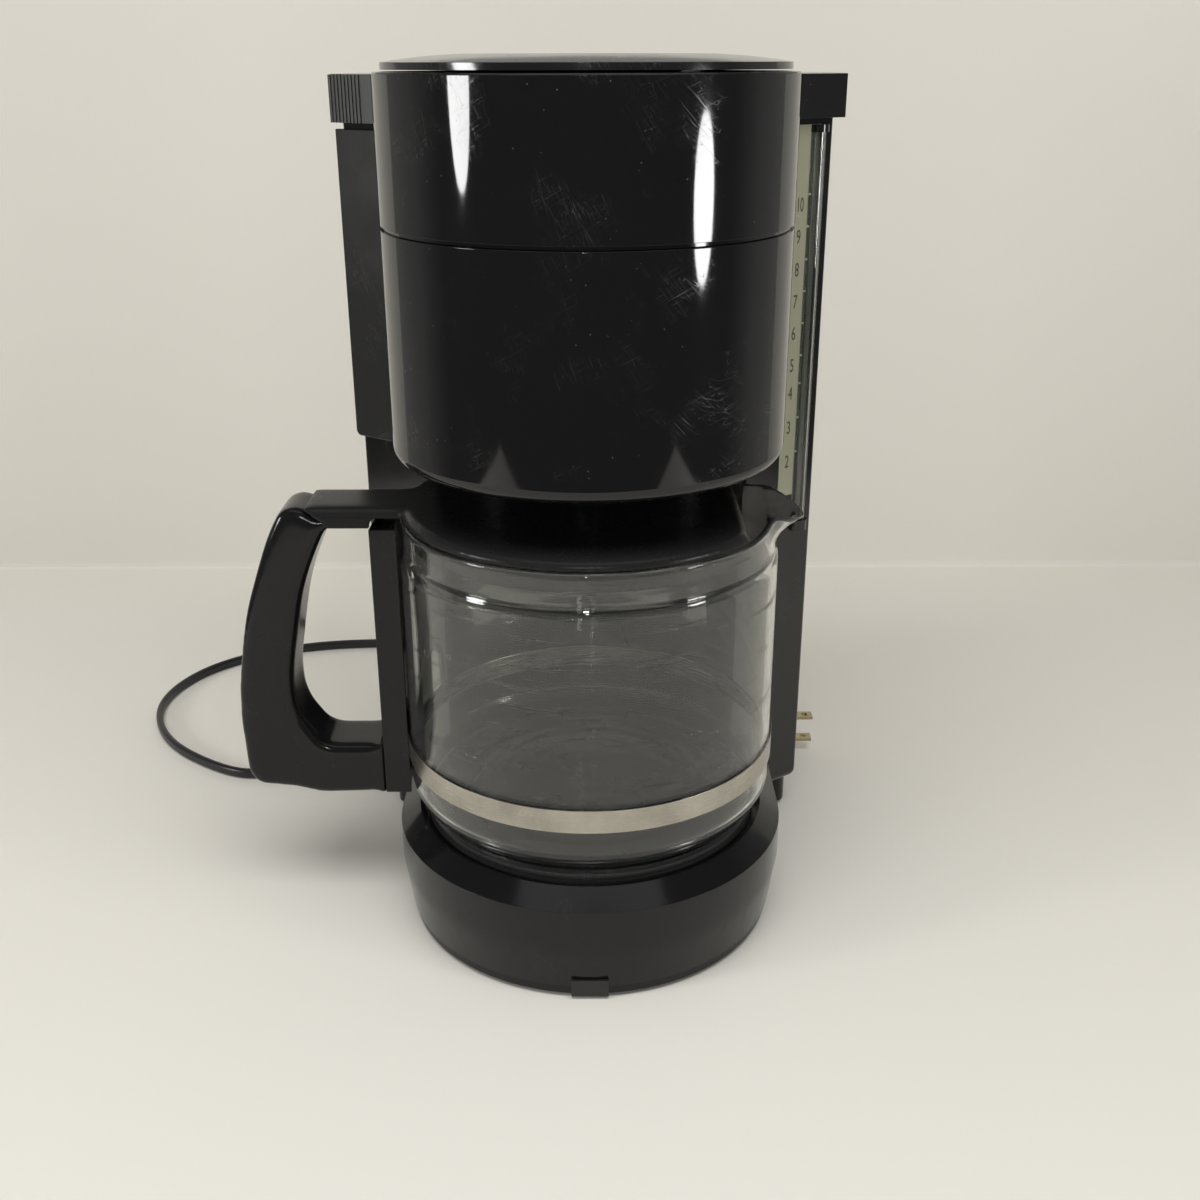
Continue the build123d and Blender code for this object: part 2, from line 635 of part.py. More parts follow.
    # rear top corners rounded about the cover's hinge, clear of its swing
    ear = HINGE_Z - BACK_TOP
    with BuildSketch(SIDE):
        with Locations((HINGE_Y, BACK_TOP)):
            Rectangle(20.0, 40.0, align=(Align.MIN, Align.MIN))
            Rectangle(TOWER_TOP - HINGE_Z, ear, align=(Align.MIN, Align.MIN),
                      mode=Mode.SUBTRACT)
        with Locations((HINGE_Y, HINGE_Z)):
            Circle(TOWER_TOP - HINGE_Z, mode=Mode.SUBTRACT)
    extrude(amount=TOWER_HALF + 1.0, both=True, mode=Mode.SUBTRACT)
    with BuildSketch(SIDE):
        with Locations((HINGE_Y, HINGE_Z)):
            Circle(HINGE_PIN_R + SLIP)
    extrude(amount=TOWER_HALF + 1.0, both=True, mode=Mode.SUBTRACT)
    # pad under the water arm
    with BuildSketch(level(TOWER_TOP - 1.0)):
        with PolarLocations(NICHE_R + WALL / 2, 1, start_angle=ARM_ANGLE):
            Rectangle(WALL - 0.1, 10.0)
    extrude(amount=ARM_BOTTOM - 0.1 - TOWER_TOP + 1.0)
tower_shell.part.label = "tower_shell"
export_step(tower_shell.part, "parts/tower_shell.step")

with BuildPart() as tower_back:
    with BuildSketch(Plane(origin=spot(0, TOWER_BACK, 0), x_dir=(-1, 0, 0), z_dir=(0, 1, 0))):
        with Locations((0, (BACK_TOP + PLINTH_LIP + 0.4) / 2)):
            RectangleRounded(2 * (TOWER_HALF - WALL - FIT), BACK_TOP - PLINTH_LIP - 0.4, 2.0)
        with Locations(*BACK_SCREWS):
            Circle(2.2, mode=Mode.SUBTRACT)
        with Locations((0, 70.0)):
            with GridLocations(10.0, 1.0, 9, 1):
                SlotOverall(34.0, 3.0, rotation=90, mode=Mode.SUBTRACT)
    extrude(amount=-WALL)
    with BuildSketch(Plane(origin=spot(0, TOWER_BACK, 0), x_dir=(-1, 0, 0), z_dir=(0, 1, 0))):
        with Locations(*BACK_SCREWS):
            Circle(3.6)
    extrude(amount=-1.3, mode=Mode.SUBTRACT)
tower_back.part.label = "tower_back"
export_step(tower_back.part, "parts/tower_back.step")

with BuildPart() as back_screws:
    with BuildSketch(Plane(origin=spot(0, TOWER_BACK - 0.1, 0), x_dir=(-1, 0, 0),
                           z_dir=(0, 1, 0))):
        with Locations(*BACK_SCREWS):
            Circle(3.4)
    extrude(amount=-1.2)
    with BuildSketch(Plane(origin=spot(0, TOWER_BACK - 1.3, 0), x_dir=(-1, 0, 0),
                           z_dir=(0, 1, 0))):
        with Locations(*BACK_SCREWS):
            Circle(1.8)
    extrude(amount=-10.0)
back_screws.part.label = "back_screws"
export_step(back_screws.part, "parts/back_screws.step")


def tank_outline(inset):
    """Tank in plan, inside the tower's walls and clear of hinge column and gauge."""
    gap = WALL + FIT + inset
    tower_outline(gap, TOWER_BACK - gap, NICHE_R + gap)
    with Locations((SWING_X, SWING_Y)):
        Circle(KNUCKLE_POCKET + gap, mode=Mode.SUBTRACT)
        Rectangle(40.0, 2 * (KNUCKLE_POCKET + gap), align=(Align.MAX, Align.CENTER),
                  rotation=SWING_ANGLE, mode=Mode.SUBTRACT)
    with Locations((TOWER_HALF - TUBE_S * SLANT_U[0], TOWER_SIDE_Y - TUBE_S * SLANT_U[1])):
        Circle(GAUGE_TUBE_R + 1.3 + inset, mode=Mode.SUBTRACT)


with BuildPart() as water_tank:
    with BuildSketch(level(TANK_FLOOR)):
        tank_outline(0)
    extrude(amount=TANK_TOP - TANK_FLOOR)
    with BuildSketch(level(TANK_FLOOR + TANK_T)):
        tank_outline(TANK_T)
    extrude(amount=TANK_TOP, mode=Mode.SUBTRACT)
    with BuildSketch(level(OUTLET_STUB)):
        with Locations((RISER_X, RISER_Y)):
            Circle(TUBE_R)
    extrude(amount=TANK_FLOOR - OUTLET_STUB)
    with BuildSketch(level(OUTLET_STUB)):
        with Locations((RISER_X, RISER_Y)):
            Circle(TUBE_R - 1.2)
        with Locations((-RISER_X, RISER_Y)):
            Circle(RISER_R + 1.55)
    extrude(amount=TANK_FLOOR, mode=Mode.SUBTRACT)
water_tank.part.label = "water_tank"
export_step(water_tank.part, "parts/water_tank.step")

# ---- water gauge --------------------------------------------------------
with BuildPart() as gauge_tube:
    with BuildSketch(level(GAUGE_BOTTOM + 5.0)):
        with Locations((TOWER_HALF - TUBE_S * SLANT_U[0],
                        TOWER_SIDE_Y - TUBE_S * SLANT_U[1])):
            Circle(GAUGE_TUBE_R)
            Circle(GAUGE_TUBE_R - 0.9, mode=Mode.SUBTRACT)
    extrude(amount=GAUGE_TOP - GAUGE_BOTTOM - 8.0)
gauge_tube.part.label = "gauge_tube"
export_step(gauge_tube.part, "parts/gauge_tube.step")

with BuildPart() as gauge_plugs:
    for height, size in ((GAUGE_BOTTOM + 0.1, 4.9), (GAUGE_TOP - 3.0, 2.9)):
        with BuildSketch(level(height)):
            with Locations((TOWER_HALF - TUBE_S * SLANT_U[0],
                            TOWER_SIDE_Y - TUBE_S * SLANT_U[1])):
                Circle(GAUGE_SLOT_W / 2 - 0.1)
        extrude(amount=size)
gauge_plugs.part.label = "gauge_plugs"
export_step(gauge_plugs.part, "parts/gauge_plugs.step")

with BuildPart() as gauge_scale:
    with BuildSketch(RIGHT_FACE.offset(-1.0)):
        with Locations((-SCALE_S, (SCALE_BOTTOM + GAUGE_TOP) / 2)):
            Rectangle(SCALE_W, GAUGE_TOP - SCALE_BOTTOM - 0.2)
    extrude(amount=1.2)
gauge_scale.part.label = "gauge_scale"
export_step(gauge_scale.part, "parts/gauge_scale.step")

# ---- switch -------------------------------------------------------------
ROCKER_AXIS = 3.0           # depth of the rocker's pivot behind the face
ROCKER_H = SWITCH_H - 2.2
ROCKER_W = SWITCH_W - 0.8
BEZEL_DEPTH = 12.0

with BuildPart() as switch_bezel:
    with BuildSketch(LEFT_FACE.offset(0.05)):
        with Locations((SWITCH_S, SWITCH_Z)):
            SlotOverall(SWITCH_H + 3.6, SWITCH_W + 2.6, rotation=90)
            SlotOverall(SWITCH_H, SWITCH_W, rotation=90, mode=Mode.SUBTRACT)
    extrude(amount=0.9)
    with BuildSketch(LEFT_FACE.offset(0.05)):
        with Locations((SWITCH_S, SWITCH_Z)):
            SlotOverall(SWITCH_H + 2.2, SWITCH_W + 1.2, rotation=90)
    extrude(amount=-BEZEL_DEPTH)
    with BuildSketch(LEFT_FACE.offset(0.05)):
        with Locations((SWITCH_S, SWITCH_Z)):
            SlotOverall(SWITCH_H, SWITCH_W, rotation=90)
    extrude(amount=1.5 - BEZEL_DEPTH, mode=Mode.SUBTRACT)
    with BuildSketch(LEFT_FACE.offset(0.05 - BEZEL_DEPTH)):
        with Locations((SWITCH_S, SWITCH_Z)):
            with GridLocations(1.0, 8.0, 1, 3):
                Rectangle(4.0, 0.8)
    extrude(amount=-7.0)
switch_bezel.part.label = "switch_bezel"
export_step(switch_bezel.part, "parts/switch_bezel.step")

with BuildPart() as switch_rocker:
    with BuildSketch(LEFT_FACE.offset(-ROCKER_AXIS - 1.5)):
        with Locations((SWITCH_S, SWITCH_Z)):
            SlotOverall(ROCKER_H, ROCKER_W, rotation=90)
    extrude(amount=ROCKER_AXIS + 2.7)
switch_rocker.part.label = "switch_rocker"
export_step(switch_rocker.part, "parts/switch_rocker.step")

# ---- top cover ----------------------------------------------------------
BLOCK_OUT = 4.2             # how far the front blocks stand out from the slanted faces
BLOCK_IN = 1.7
PLATE_UNDER = COVER_TOP - COVER_T
STRIP_HALF = 52.0           # raised middle that carries the disc
STRIP_TOP = DISC_CROWN - 0.4
DOME_MID_R = (DISC_R + CROWN_R) / 2
DOME_MID_Z = (DISC_EDGE + DISC_CROWN) / 2 + 0.4
STRIP_BACK = HINGE_Y - 1.0
LEFT_START = TOWER_SIDE_Y + 5.0
DRUM_CLEAR = DRUM_R + 1.6
SKIRT_T = 2.5
BACK_HALF = TOWER_HALF - WALL - 0.7


def face_point(side, along, out):
    """Point on a slanted face: distance in from its outer edge, and out from it."""
    x = TOWER_HALF - along * SLANT_U[0] + out * SLANT_U[1]
    y = TOWER_SIDE_Y - along * SLANT_U[1] - out * SLANT_U[0]
    return (side * x, y)


def side_step(out):
    """Distance along the face at which an offset face meets the cover's side."""
    return (TOWER_HALF + out * SLANT_U[1] - COVER_HALF) / SLANT_U[0]


with BuildPart() as top_cover:
    with BuildSketch(level(PLATE_UNDER)):
        with BuildLine():
            Polyline((-COVER_HALF, TOWER_BACK), (-COVER_HALF, LEFT_START),
                     (-TOWER_HALF, LEFT_START), (-TOWER_HALF, TOWER_SIDE_Y),
                     face_point(-1, 39.0, 0.1), face_point(1, 38.0, BLOCK_OUT),
                     face_point(1, side_step(BLOCK_OUT), BLOCK_OUT),
                     (COVER_HALF, TOWER_BACK), close=True)
        make_face()
        Circle(DRUM_CLEAR, mode=Mode.SUBTRACT)
    extrude(amount=COVER_T)
    # side skirts, front block on the right, back skirt between the tower's walls
    with BuildSketch(level(COVER_SKIRT_Z)):
        with BuildLine():
            Polyline((COVER_HALF, TOWER_BACK),
                     face_point(1, side_step(BLOCK_OUT), BLOCK_OUT),
                     face_point(1, 38.0, BLOCK_OUT), face_point(1, 38.0, BLOCK_IN),
                     (COVER_HALF - SKIRT_T, face_point(1, 0, BLOCK_IN)[1] + 1.6),
                     (COVER_HALF - SKIRT_T, TOWER_BACK), close=True)
        make_face()
        with Locations((-COVER_HALF + SKIRT_T / 2, (LEFT_START + TOWER_BACK) / 2)):
            Rectangle(SKIRT_T, TOWER_BACK - LEFT_START)
        with Locations((0, TOWER_BACK - SKIRT_T / 2)):
            Rectangle(2 * BACK_HALF, SKIRT_T)
    extrude(amount=PLATE_UNDER - COVER_SKIRT_Z)
    # raised middle and disc
    with BuildSketch(level(PLATE_UNDER)):
        with Locations((0, STRIP_BACK - 40.0)):
            RectangleRounded(2 * STRIP_HALF, 80.0, 6.0)
        Circle(DRUM_CLEAR, mode=Mode.SUBTRACT)
    extrude(amount=STRIP_TOP - PLATE_UNDER)
    with BuildSketch(level(DISC_BOTTOM)):
        with Locations((0, STRIP_BACK - 40.0)):
            RectangleRounded(2 * STRIP_HALF, 80.0, 6.0)
    extrude(amount=STRIP_TOP - DISC_BOTTOM)
    with BuildSketch(MIDDLE):
        with BuildLine():
            Polyline((0, DISC_CROWN), (0, DISC_BOTTOM), (DISC_R, DISC_BOTTOM),
                     (DISC_R, DISC_EDGE))
            ThreePointArc((DISC_R, DISC_EDGE), (DOME_MID_R, DOME_MID_Z),
                          (CROWN_R, DISC_CROWN))
            Line((CROWN_R, DISC_CROWN), (0, DISC_CROWN))
        make_face()
    revolve(axis=SPINDLE)
    # hollow for the water arm
    with BuildSketch(level(PLATE_UNDER - 1.0)):
        with Locations((0, STRIP_BACK - DISC_T - 40.0)):
            RectangleRounded(2 * (STRIP_HALF - DISC_T), 80.0, 5.0)
    extrude(amount=STRIP_TOP - DISC_T - PLATE_UNDER + 1.0, mode=Mode.SUBTRACT)
    with BuildSketch(MIDDLE):
        Polygon((0, DISC_BOTTOM - 0.2), (DISC_R - 2.4, DISC_BOTTOM - 0.2),
                (DISC_R - 2.4, DISC_EDGE - DISC_T), (CROWN_R, STRIP_TOP - DISC_T),
                (0, STRIP_TOP - DISC_T), align=None)
    revolve(axis=SPINDLE, mode=Mode.SUBTRACT)
    # blind holes for the hinge pins
    with BuildSketch(SIDE):
        with Locations((HINGE_Y, HINGE_Z)):
            Circle(HINGE_PIN_R + SLIP)
    extrude(amount=COVER_HALF - 0.9, both=True, mode=Mode.SUBTRACT)
top_cover.part.label = "top_cover"
export_step(top_cover.part, "parts/top_cover.step")

with BuildPart() as cover_pins:
    for side in (-1, 1):
        with BuildSketch(Plane(origin=spot(side * (TOWER_HALF - WALL - 0.5), HINGE_Y, HINGE_Z),
                               x_dir=(0, 1, 0), z_dir=(side, 0, 0))):
            Circle(HINGE_PIN_R)
        extrude(amount=COVER_HALF - 1.0 - TOWER_HALF + WALL + 0.5)
cover_pins.part.label = "cover_pins"
export_step(cover_pins.part, "parts/cover_pins.step")

# ---- swinging drum ------------------------------------------------------
SPIGOT_R = DRUM_R - WALL - 0.1
GROOVE_R = DRUM_R - 1.2
FLOOR_HOLE_R = 9.0
CONE_LEDGE_Z = 318.0


def drum_lug():
    """Hinge arm from the drum's wall to the pin, in plan."""
    with Locations((SWING_X, SWING_Y)):
        Circle(KNUCKLE_R)
        Rectangle(SWING_ARM - DRUM_R + 1.2, 8.0, align=(Align.MAX, Align.CENTER),
                  rotation=SWING_ANGLE)
        Circle(SWING_PIN_R + SLIP, mode=Mode.SUBTRACT)


with BuildPart() as drum_body:
    with BuildSketch(MIDDLE):
        with BuildLine():
            Polyline((FLOOR_HOLE_R, DRUM_BOTTOM), (DRUM_R - DRUM_EDGE, DRUM_BOTTOM))
            RadiusArc((DRUM_R - DRUM_EDGE, DRUM_BOTTOM), (DRUM_R, DRUM_BOTTOM + DRUM_EDGE),
                      -DRUM_EDGE)
            Polyline((DRUM_R, DRUM_BOTTOM + DRUM_EDGE), (DRUM_R, DRUM_SEAM),
                     (DRUM_R - WALL, DRUM_SEAM), (DRUM_R - WALL, DRUM_BOTTOM + WALL + 3.0),
                     (DRUM_R - WALL - 3.0, DRUM_BOTTOM + WALL),
                     (FLOOR_HOLE_R, DRUM_BOTTOM + WALL), (FLOOR_HOLE_R, DRUM_BOTTOM))
        make_face()
    revolve(axis=SPINDLE)
    with BuildSketch(level(LUG_LOW_Z)):
        drum_lug()
    extrude(amount=LUG_H)
drum_body.part.label = "drum_body"
export_step(drum_body.part, "parts/drum_body.step")

COLLAR_FOOT = DRUM_SEAM + SEAM_GAP
with BuildPart() as drum_collar:
    with BuildSketch(MIDDLE):
        with BuildLine():
            Polyline((SPIGOT_R - WALL, DRUM_SEAM - 7.0), (SPIGOT_R, DRUM_SEAM - 7.0),
                     (SPIGOT_R, DRUM_SEAM + 0.1), (GROOVE_R, DRUM_SEAM + 0.1),
                     (GROOVE_R, COLLAR_FOOT), (DRUM_R, COLLAR_FOOT),
                     (DRUM_R, DRUM_TOP - 0.6), (DRUM_R - 0.6, DRUM_TOP),
                     (DRUM_R - WALL, DRUM_TOP), (DRUM_R - WALL, CONE_LEDGE_Z),
                     (DRUM_R - WALL - 4.0, CONE_LEDGE_Z),
                     (DRUM_R - WALL - 4.0, CONE_LEDGE_Z - 2.0),
                     (DRUM_R - WALL, CONE_LEDGE_Z - 6.0), (DRUM_R - WALL, COLLAR_FOOT + 2.0),
                     (SPIGOT_R - WALL, COLLAR_FOOT - 1.0), close=True)
        make_face()
    revolve(axis=SPINDLE)
    with BuildSketch(level(LUG_HIGH_Z)):
        drum_lug()
    extrude(amount=LUG_H)
drum_collar.part.label = "drum_collar"
export_step(drum_collar.part, "parts/drum_collar.step")

with BuildPart() as swing_pin:
    with BuildSketch(level(LUG_LOW_Z - 0.4 - EAR_T)):
        with Locations((SWING_X, SWING_Y)):
            Circle(SWING_PIN_R)
    extrude(amount=LUG_HIGH_Z + LUG_H - LUG_LOW_Z + 2 * EAR_T + 0.8)
swing_pin.part.label = "swing_pin"
export_step(swing_pin.part, "parts/swing_pin.step")

WING_GAP = 0.7
WING_T = 2.5
WING_LOW = 189.0
WING_HIGH = 315.0
WING_OUT = 1.5              # past the tower's corner
WING_CORNER = 2.5
FACE_REACH = TOWER_HALF * SLANT_U[0] + TOWER_SIDE_Y * SLANT_U[1]
# along the face, from its outer edge to just inside the drum's wall
JOIN_S = FACE_REACH + 0.4 - sqrt(FACE_REACH ** 2 + DRUM_R ** 2 - TOWER_HALF ** 2
                                 - TOWER_SIDE_Y ** 2)
with BuildPart() as wing_panel:
    with BuildSketch(LEFT_FACE.offset(WING_GAP)) as wing_outline:
        with Locations(((JOIN_S - WING_OUT) / 2, (WING_LOW + WING_HIGH) / 2)):
            Rectangle(JOIN_S + WING_OUT, WING_HIGH - WING_LOW)
        fillet(wing_outline.vertices().group_by(Axis.Y)[0].sort_by(Axis.X)[0], radius=WING_CORNER)
    extrude(amount=WING_T)
    with BuildSketch(level(WING_LOW - 1.0)):
        Circle(DRUM_R + 0.02)
    extrude(amount=WING_HIGH, mode=Mode.SUBTRACT)
wing_panel.part.label = "wing_panel"
export_step(wing_panel.part, "parts/wing_panel.step")

GRIP_LOW = 317.4
GRIP_HIGH = 335.3
GRIP_OUT = 2.6
RIB_PITCH = 1.9
with BuildPart() as pull_grip:
    with BuildSketch(LEFT_FACE.offset(WING_GAP)):
        with Locations(((JOIN_S - GRIP_OUT) / 2, (GRIP_LOW + GRIP_HIGH) / 2)):
            Rectangle(JOIN_S + GRIP_OUT, GRIP_HIGH - GRIP_LOW)
    extrude(amount=2.8)
    with BuildSketch(LEFT_FACE.offset(WING_GAP + 2.8)):
        for rib in range(9):
            with Locations((rib * RIB_PITCH - GRIP_OUT + 0.7, (GRIP_LOW + GRIP_HIGH) / 2)):
                Rectangle(1.2, GRIP_HIGH - GRIP_LOW)
    extrude(amount=0.7)
    with BuildSketch(level(GRIP_LOW - 1.0)):
        Circle(DRUM_R + 0.02)
    extrude(amount=GRIP_HIGH, mode=Mode.SUBTRACT)
pull_grip.part.label = "pull_grip"
export_step(pull_grip.part, "parts/pull_grip.step")

# ---- filter cone and drip valve -----------------------------------------
CONE_TOP_R = DRUM_R - WALL - 5.5
CONE_LOW_R = 24.0
CONE_LOW_Z = 213.0
CONE_T = 2.0
SEAT_R = 5.0
STEM_R = 2.6
with BuildPart() as filter_cone:
    with BuildSketch(MIDDLE):
        with BuildLine():
            Polyline((SEAT_R, CONE_LOW_Z), (CONE_LOW_R, CONE_LOW_Z),
                     (CONE_TOP_R, CONE_LEDGE_Z + 0.1), (DRUM_R - WALL - 0.6, CONE_LEDGE_Z + 0.1),
                     (DRUM_R - WALL - 0.6, CONE_LEDGE_Z + 2.1),
                     (CONE_TOP_R - CONE_T, CONE_LEDGE_Z + 2.1),
                     (CONE_LOW_R - CONE_T, CONE_LOW_Z + CONE_T), (SEAT_R, CONE_LOW_Z + CONE_T),
                     close=True)
        make_face()
    revolve(axis=SPINDLE)
filter_cone.part.label = "filter_cone"
export_step(filter_cone.part, "parts/filter_cone.step")

VALVE_SEAT = CONE_LOW_Z + CONE_T
SPRING_FOOT = DRUM_BOTTOM + WALL + 1.6
with BuildPart() as drip_valve:
    with BuildSketch(MIDDLE):
        with BuildLine():
            Polyline((0, VALVE_FOOT), (5.0, VALVE_FOOT), (6.0, VALVE_FOOT + 1.0),
                     (6.0, VALVE_FOOT + 3.0), (STEM_R, VALVE_FOOT + 5.0),
                     (STEM_R, SPRING_FOOT - 1.6), (7.2, SPRING_FOOT - 1.6),
                     (7.2, SPRING_FOOT), (STEM_R, SPRING_FOOT),
                     (STEM_R, VALVE_SEAT + VALVE_TRAVEL + 1.6),
                     (6.6, VALVE_SEAT + VALVE_TRAVEL + 1.6),
                     (6.6, VALVE_SEAT + VALVE_TRAVEL + 3.4), (0, VALVE_SEAT + VALVE_TRAVEL + 4.6),
                     close=True)
        make_face()
    revolve(axis=SPINDLE)
drip_valve.part.label = "drip_valve"
export_step(drip_valve.part, "parts/drip_valve.step")

with BuildPart() as valve_seal:
    with BuildSketch(level(VALVE_SEAT + VALVE_TRAVEL + 0.1)):
        Circle(7.4)
        Circle(STEM_R + 0.05, mode=Mode.SUBTRACT)
    extrude(amount=1.4)
valve_seal.part.label = "valve_seal"
export_step(valve_seal.part, "parts/valve_seal.step")

COIL_R = 5.6
COIL_WIRE = 0.5
COIL_LOW = SPRING_FOOT + COIL_WIRE + 0.1
COIL_HIGH = CONE_LOW_Z - COIL_WIRE - 0.1
with BuildPart() as valve_spring:
    with BuildLine():
        Helix(pitch=(COIL_HIGH - COIL_LOW) / 4, height=COIL_HIGH - COIL_LOW, radius=COIL_R,
              center=tuple(spot(0, 0, COIL_LOW)))
    with BuildSketch(Plane(origin=spot(COIL_R, 0, COIL_LOW), z_dir=(0, 1, 0))):
        Circle(COIL_WIRE)
    sweep(is_frenet=True)
valve_spring.part.label = "valve_spring"
export_step(valve_spring.part, "parts/valve_spring.step")

# ---- jug ----------------------------------------------------------------
SPOUT_R = 8.0
SPOUT_DEPTH = 13.0
SPOUT_TAPER = 38.0
JUG_FOOT = PLATE_TOP + FIT


def jug_profile(inset):
    """Half section of the jug's outer or inner surface."""
    r = JUG_CORNER - inset
    Polyline((0, JUG_FOOT + inset), (JUG_R - JUG_CORNER, JUG_FOOT + inset))
    RadiusArc((JUG_R - JUG_CORNER, JUG_FOOT + inset), (JUG_R - inset, JUG_FOOT + JUG_CORNER),
              -r)
    Polyline((JUG_R - inset, JUG_FOOT + JUG_CORNER), (JUG_R - inset, 97.0),
             (JUG_R - 0.4 - inset, 130.0), (JUG_LIP_R - inset, 165.0),
             (JUG_LIP_R - inset, JUG_RIM_Z), (0, JUG_RIM_Z), (0, JUG_FOOT + inset))


def spout_outline(inset):
    """Rim circle drawn out to the spout's tip."""
    Circle(JUG_LIP_R - inset)
    with Locations((SPOUT_REACH - SPOUT_R, 0)):
        Circle(SPOUT_R - inset)
    make_hull()


with BuildPart() as glass_jug:
    with BuildSketch(MIDDLE):
        with BuildLine():
            jug_profile(0)
        make_face()
    revolve(axis=SPINDLE)
    with BuildSketch(level(JUG_RIM_Z)):
        spout_outline(0)
    extrude(amount=-SPOUT_DEPTH, taper=SPOUT_TAPER)
    with BuildSketch(MIDDLE):
        with BuildLine():
            jug_profile(JUG_T)
        make_face()
    revolve(axis=SPINDLE, mode=Mode.SUBTRACT)
    with BuildSketch(level(JUG_RIM_Z)):
        spout_outline(JUG_T)
    extrude(amount=-SPOUT_DEPTH, taper=SPOUT_TAPER, mode=Mode.SUBTRACT)
glass_jug.part.label = "glass_jug"
export_step(glass_jug.part, "parts/glass_jug.step")

BAND_R = JUG_R + 0.05
with BuildPart() as steel_band:
    with BuildSketch(level(BAND_Z)):
        Circle(BAND_R + BAND_T)
        Circle(BAND_R, mode=Mode.SUBTRACT)
        with Locations((-JUG_R, 0)):
            Rectangle(30.0, 2 * HANDLE_HALF - 6.0, mode=Mode.SUBTRACT)
    extrude(amount=BAND_H)
steel_band.part.label = "steel_band"
export_step(steel_band.part, "parts/steel_band.step")

POST_OUT = JUG_R + 10.4
POST_LOW = 55.2
POST_HIGH = 171.6
ARM_INSIDE = LID_ARM_HALF - 2.0
ARM_LOW = 172.2
with BuildPart() as handle_post:
    with BuildSketch(level(POST_LOW)):
        with Locations((-POST_OUT + 10.0, 0)):
            Rectangle(20.0, 2 * HANDLE_HALF)
        Circle(BAND_R + BAND_T + 0.15, mode=Mode.SUBTRACT)
    extrude(amount=POST_HIGH - POST_LOW)
    with BuildSketch(level(BAND_Z)):
        with Locations((-JUG_R, 0)):
            Rectangle(30.0, 2 * HANDLE_HALF - 6.4)
        Circle(JUG_R + 0.1, mode=Mode.SUBTRACT)
        with Locations((-POST_OUT - 25.0, 0)):
            Rectangle(50.0, 60.0, mode=Mode.SUBTRACT)
    extrude(amount=BAND_H)
handle_post.part.label = "handle_post"
export_step(handle_post.part, "parts/handle_post.step")

GRIP_OUTER = [(-137.0, 58.2), (-142.2, 63.0), (-143.3, 71.0), (-HANDLE_REACH, 84.0),
              (-143.1, 101.4), (-140.4, 119.6), (-136.6, 137.3), (-132.3, 150.3),
              (-126.0, 167.3), (-120.0, 178.6)]
GRIP_INNER = [(-103.1, 170.6), (-109.3, 157.3), (-114.4, 142.5), (-117.9, 125.2),
              (-120.3, 112.0), (-121.1, 103.0), (-120.4, 94.8), (-117.6, 87.0)]
GRIP_IN = -POST_OUT - 0.05
BRIDGE_LOW = 172.0          # hidden bridge from grip to post, inside the lid's arm
BRIDGE_HIGH = 175.7
with BuildPart() as handle_grip:
    with BuildSketch(MIDDLE):
        with BuildLine():
            Spline(*GRIP_OUTER)
            Polyline(GRIP_OUTER[-1], (-115.0, 180.3), (-110.5, 179.2), (-105.1, 175.6),
                     (-101.4, 171.9), GRIP_INNER[0])
            Spline(*GRIP_INNER)
            Polyline(GRIP_INNER[-1], (-112.0, 79.0), (-107.0, 77.0), (GRIP_IN, 77.0),
                     (GRIP_IN, 55.2), (-112.0, 54.0), (-124.5, 57.2), GRIP_OUTER[0])
        make_face()
    extrude(amount=HANDLE_HALF, both=True)
    with BuildSketch(MIDDLE):
        Polygon((-106.0, BRIDGE_HIGH - 0.3), (-105.2, BRIDGE_HIGH), (GRIP_IN, BRIDGE_HIGH),
                (GRIP_IN, BRIDGE_LOW), (-103.0, BRIDGE_LOW), align=None)
    extrude(amount=ARM_INSIDE - 0.3, both=True)
handle_grip.part.label = "handle_grip"
export_step(handle_grip.part, "parts/handle_grip.step")

LID_SKIRT_R = JUG_LIP_R - JUG_T - 1.2
with BuildPart() as jug_lid:
    with BuildSketch(level(JUG_RIM_Z + FIT)):
        Circle(LID_R)
        with Locations((-LID_R - 12.0, 0)):
            Rectangle(52.0, 2 * LID_ARM_HALF)
    extrude(amount=LID_TOP - JUG_RIM_Z - FIT)
    # side walls of the arm
    with BuildSketch(level(ARM_LOW)):
        for side in (-1, 1):
            with Locations((-LID_R - 20.0, side * (LID_ARM_HALF + ARM_INSIDE) / 2)):
                Rectangle(40.0, LID_ARM_HALF - ARM_INSIDE)
        Circle(POST_OUT, mode=Mode.SUBTRACT)
    extrude(amount=JUG_RIM_Z + 1.0 - ARM_LOW)
    with BuildSketch(level(JUG_RIM_Z - 8.0)):
        Circle(LID_SKIRT_R)
        Circle(LID_SKIRT_R - 1.8, mode=Mode.SUBTRACT)
    extrude(amount=8.5)
    # disc and skirt cut off straight for the pouring mouth
    with BuildSketch(level(JUG_RIM_Z - 9.0)):
        with Locations((LID_MOUTH, 0)):
            Rectangle(2 * LID_R, 2 * LID_R, align=(Align.MIN, Align.CENTER))
    extrude(amount=LID_BOSS_TOP - JUG_RIM_Z + 9.0, mode=Mode.SUBTRACT)
    with BuildSketch(level(LID_TOP)):
        Circle(9.0)
    extrude(amount=LID_BOSS_TOP - LID_TOP)
    with BuildSketch(level(JUG_RIM_Z)):
        Circle(4.0)
    extrude(amount=20.0, mode=Mode.SUBTRACT)
    # sloped joint with the grip
    with BuildSketch(MIDDLE):
        with BuildLine():
            Polyline((-92.0, 160.0), (-101.3, 172.2), (-105.1, 176.1), (-112.1, 180.3),
                     (-119.0, 190.0), (-140.0, 190.0), (-140.0, 160.0), close=True)
        make_face()
    extrude(amount=30.0, both=True, mode=Mode.SUBTRACT)
jug_lid.part.label = "jug_lid"
export_step(jug_lid.part, "parts/jug_lid.step")

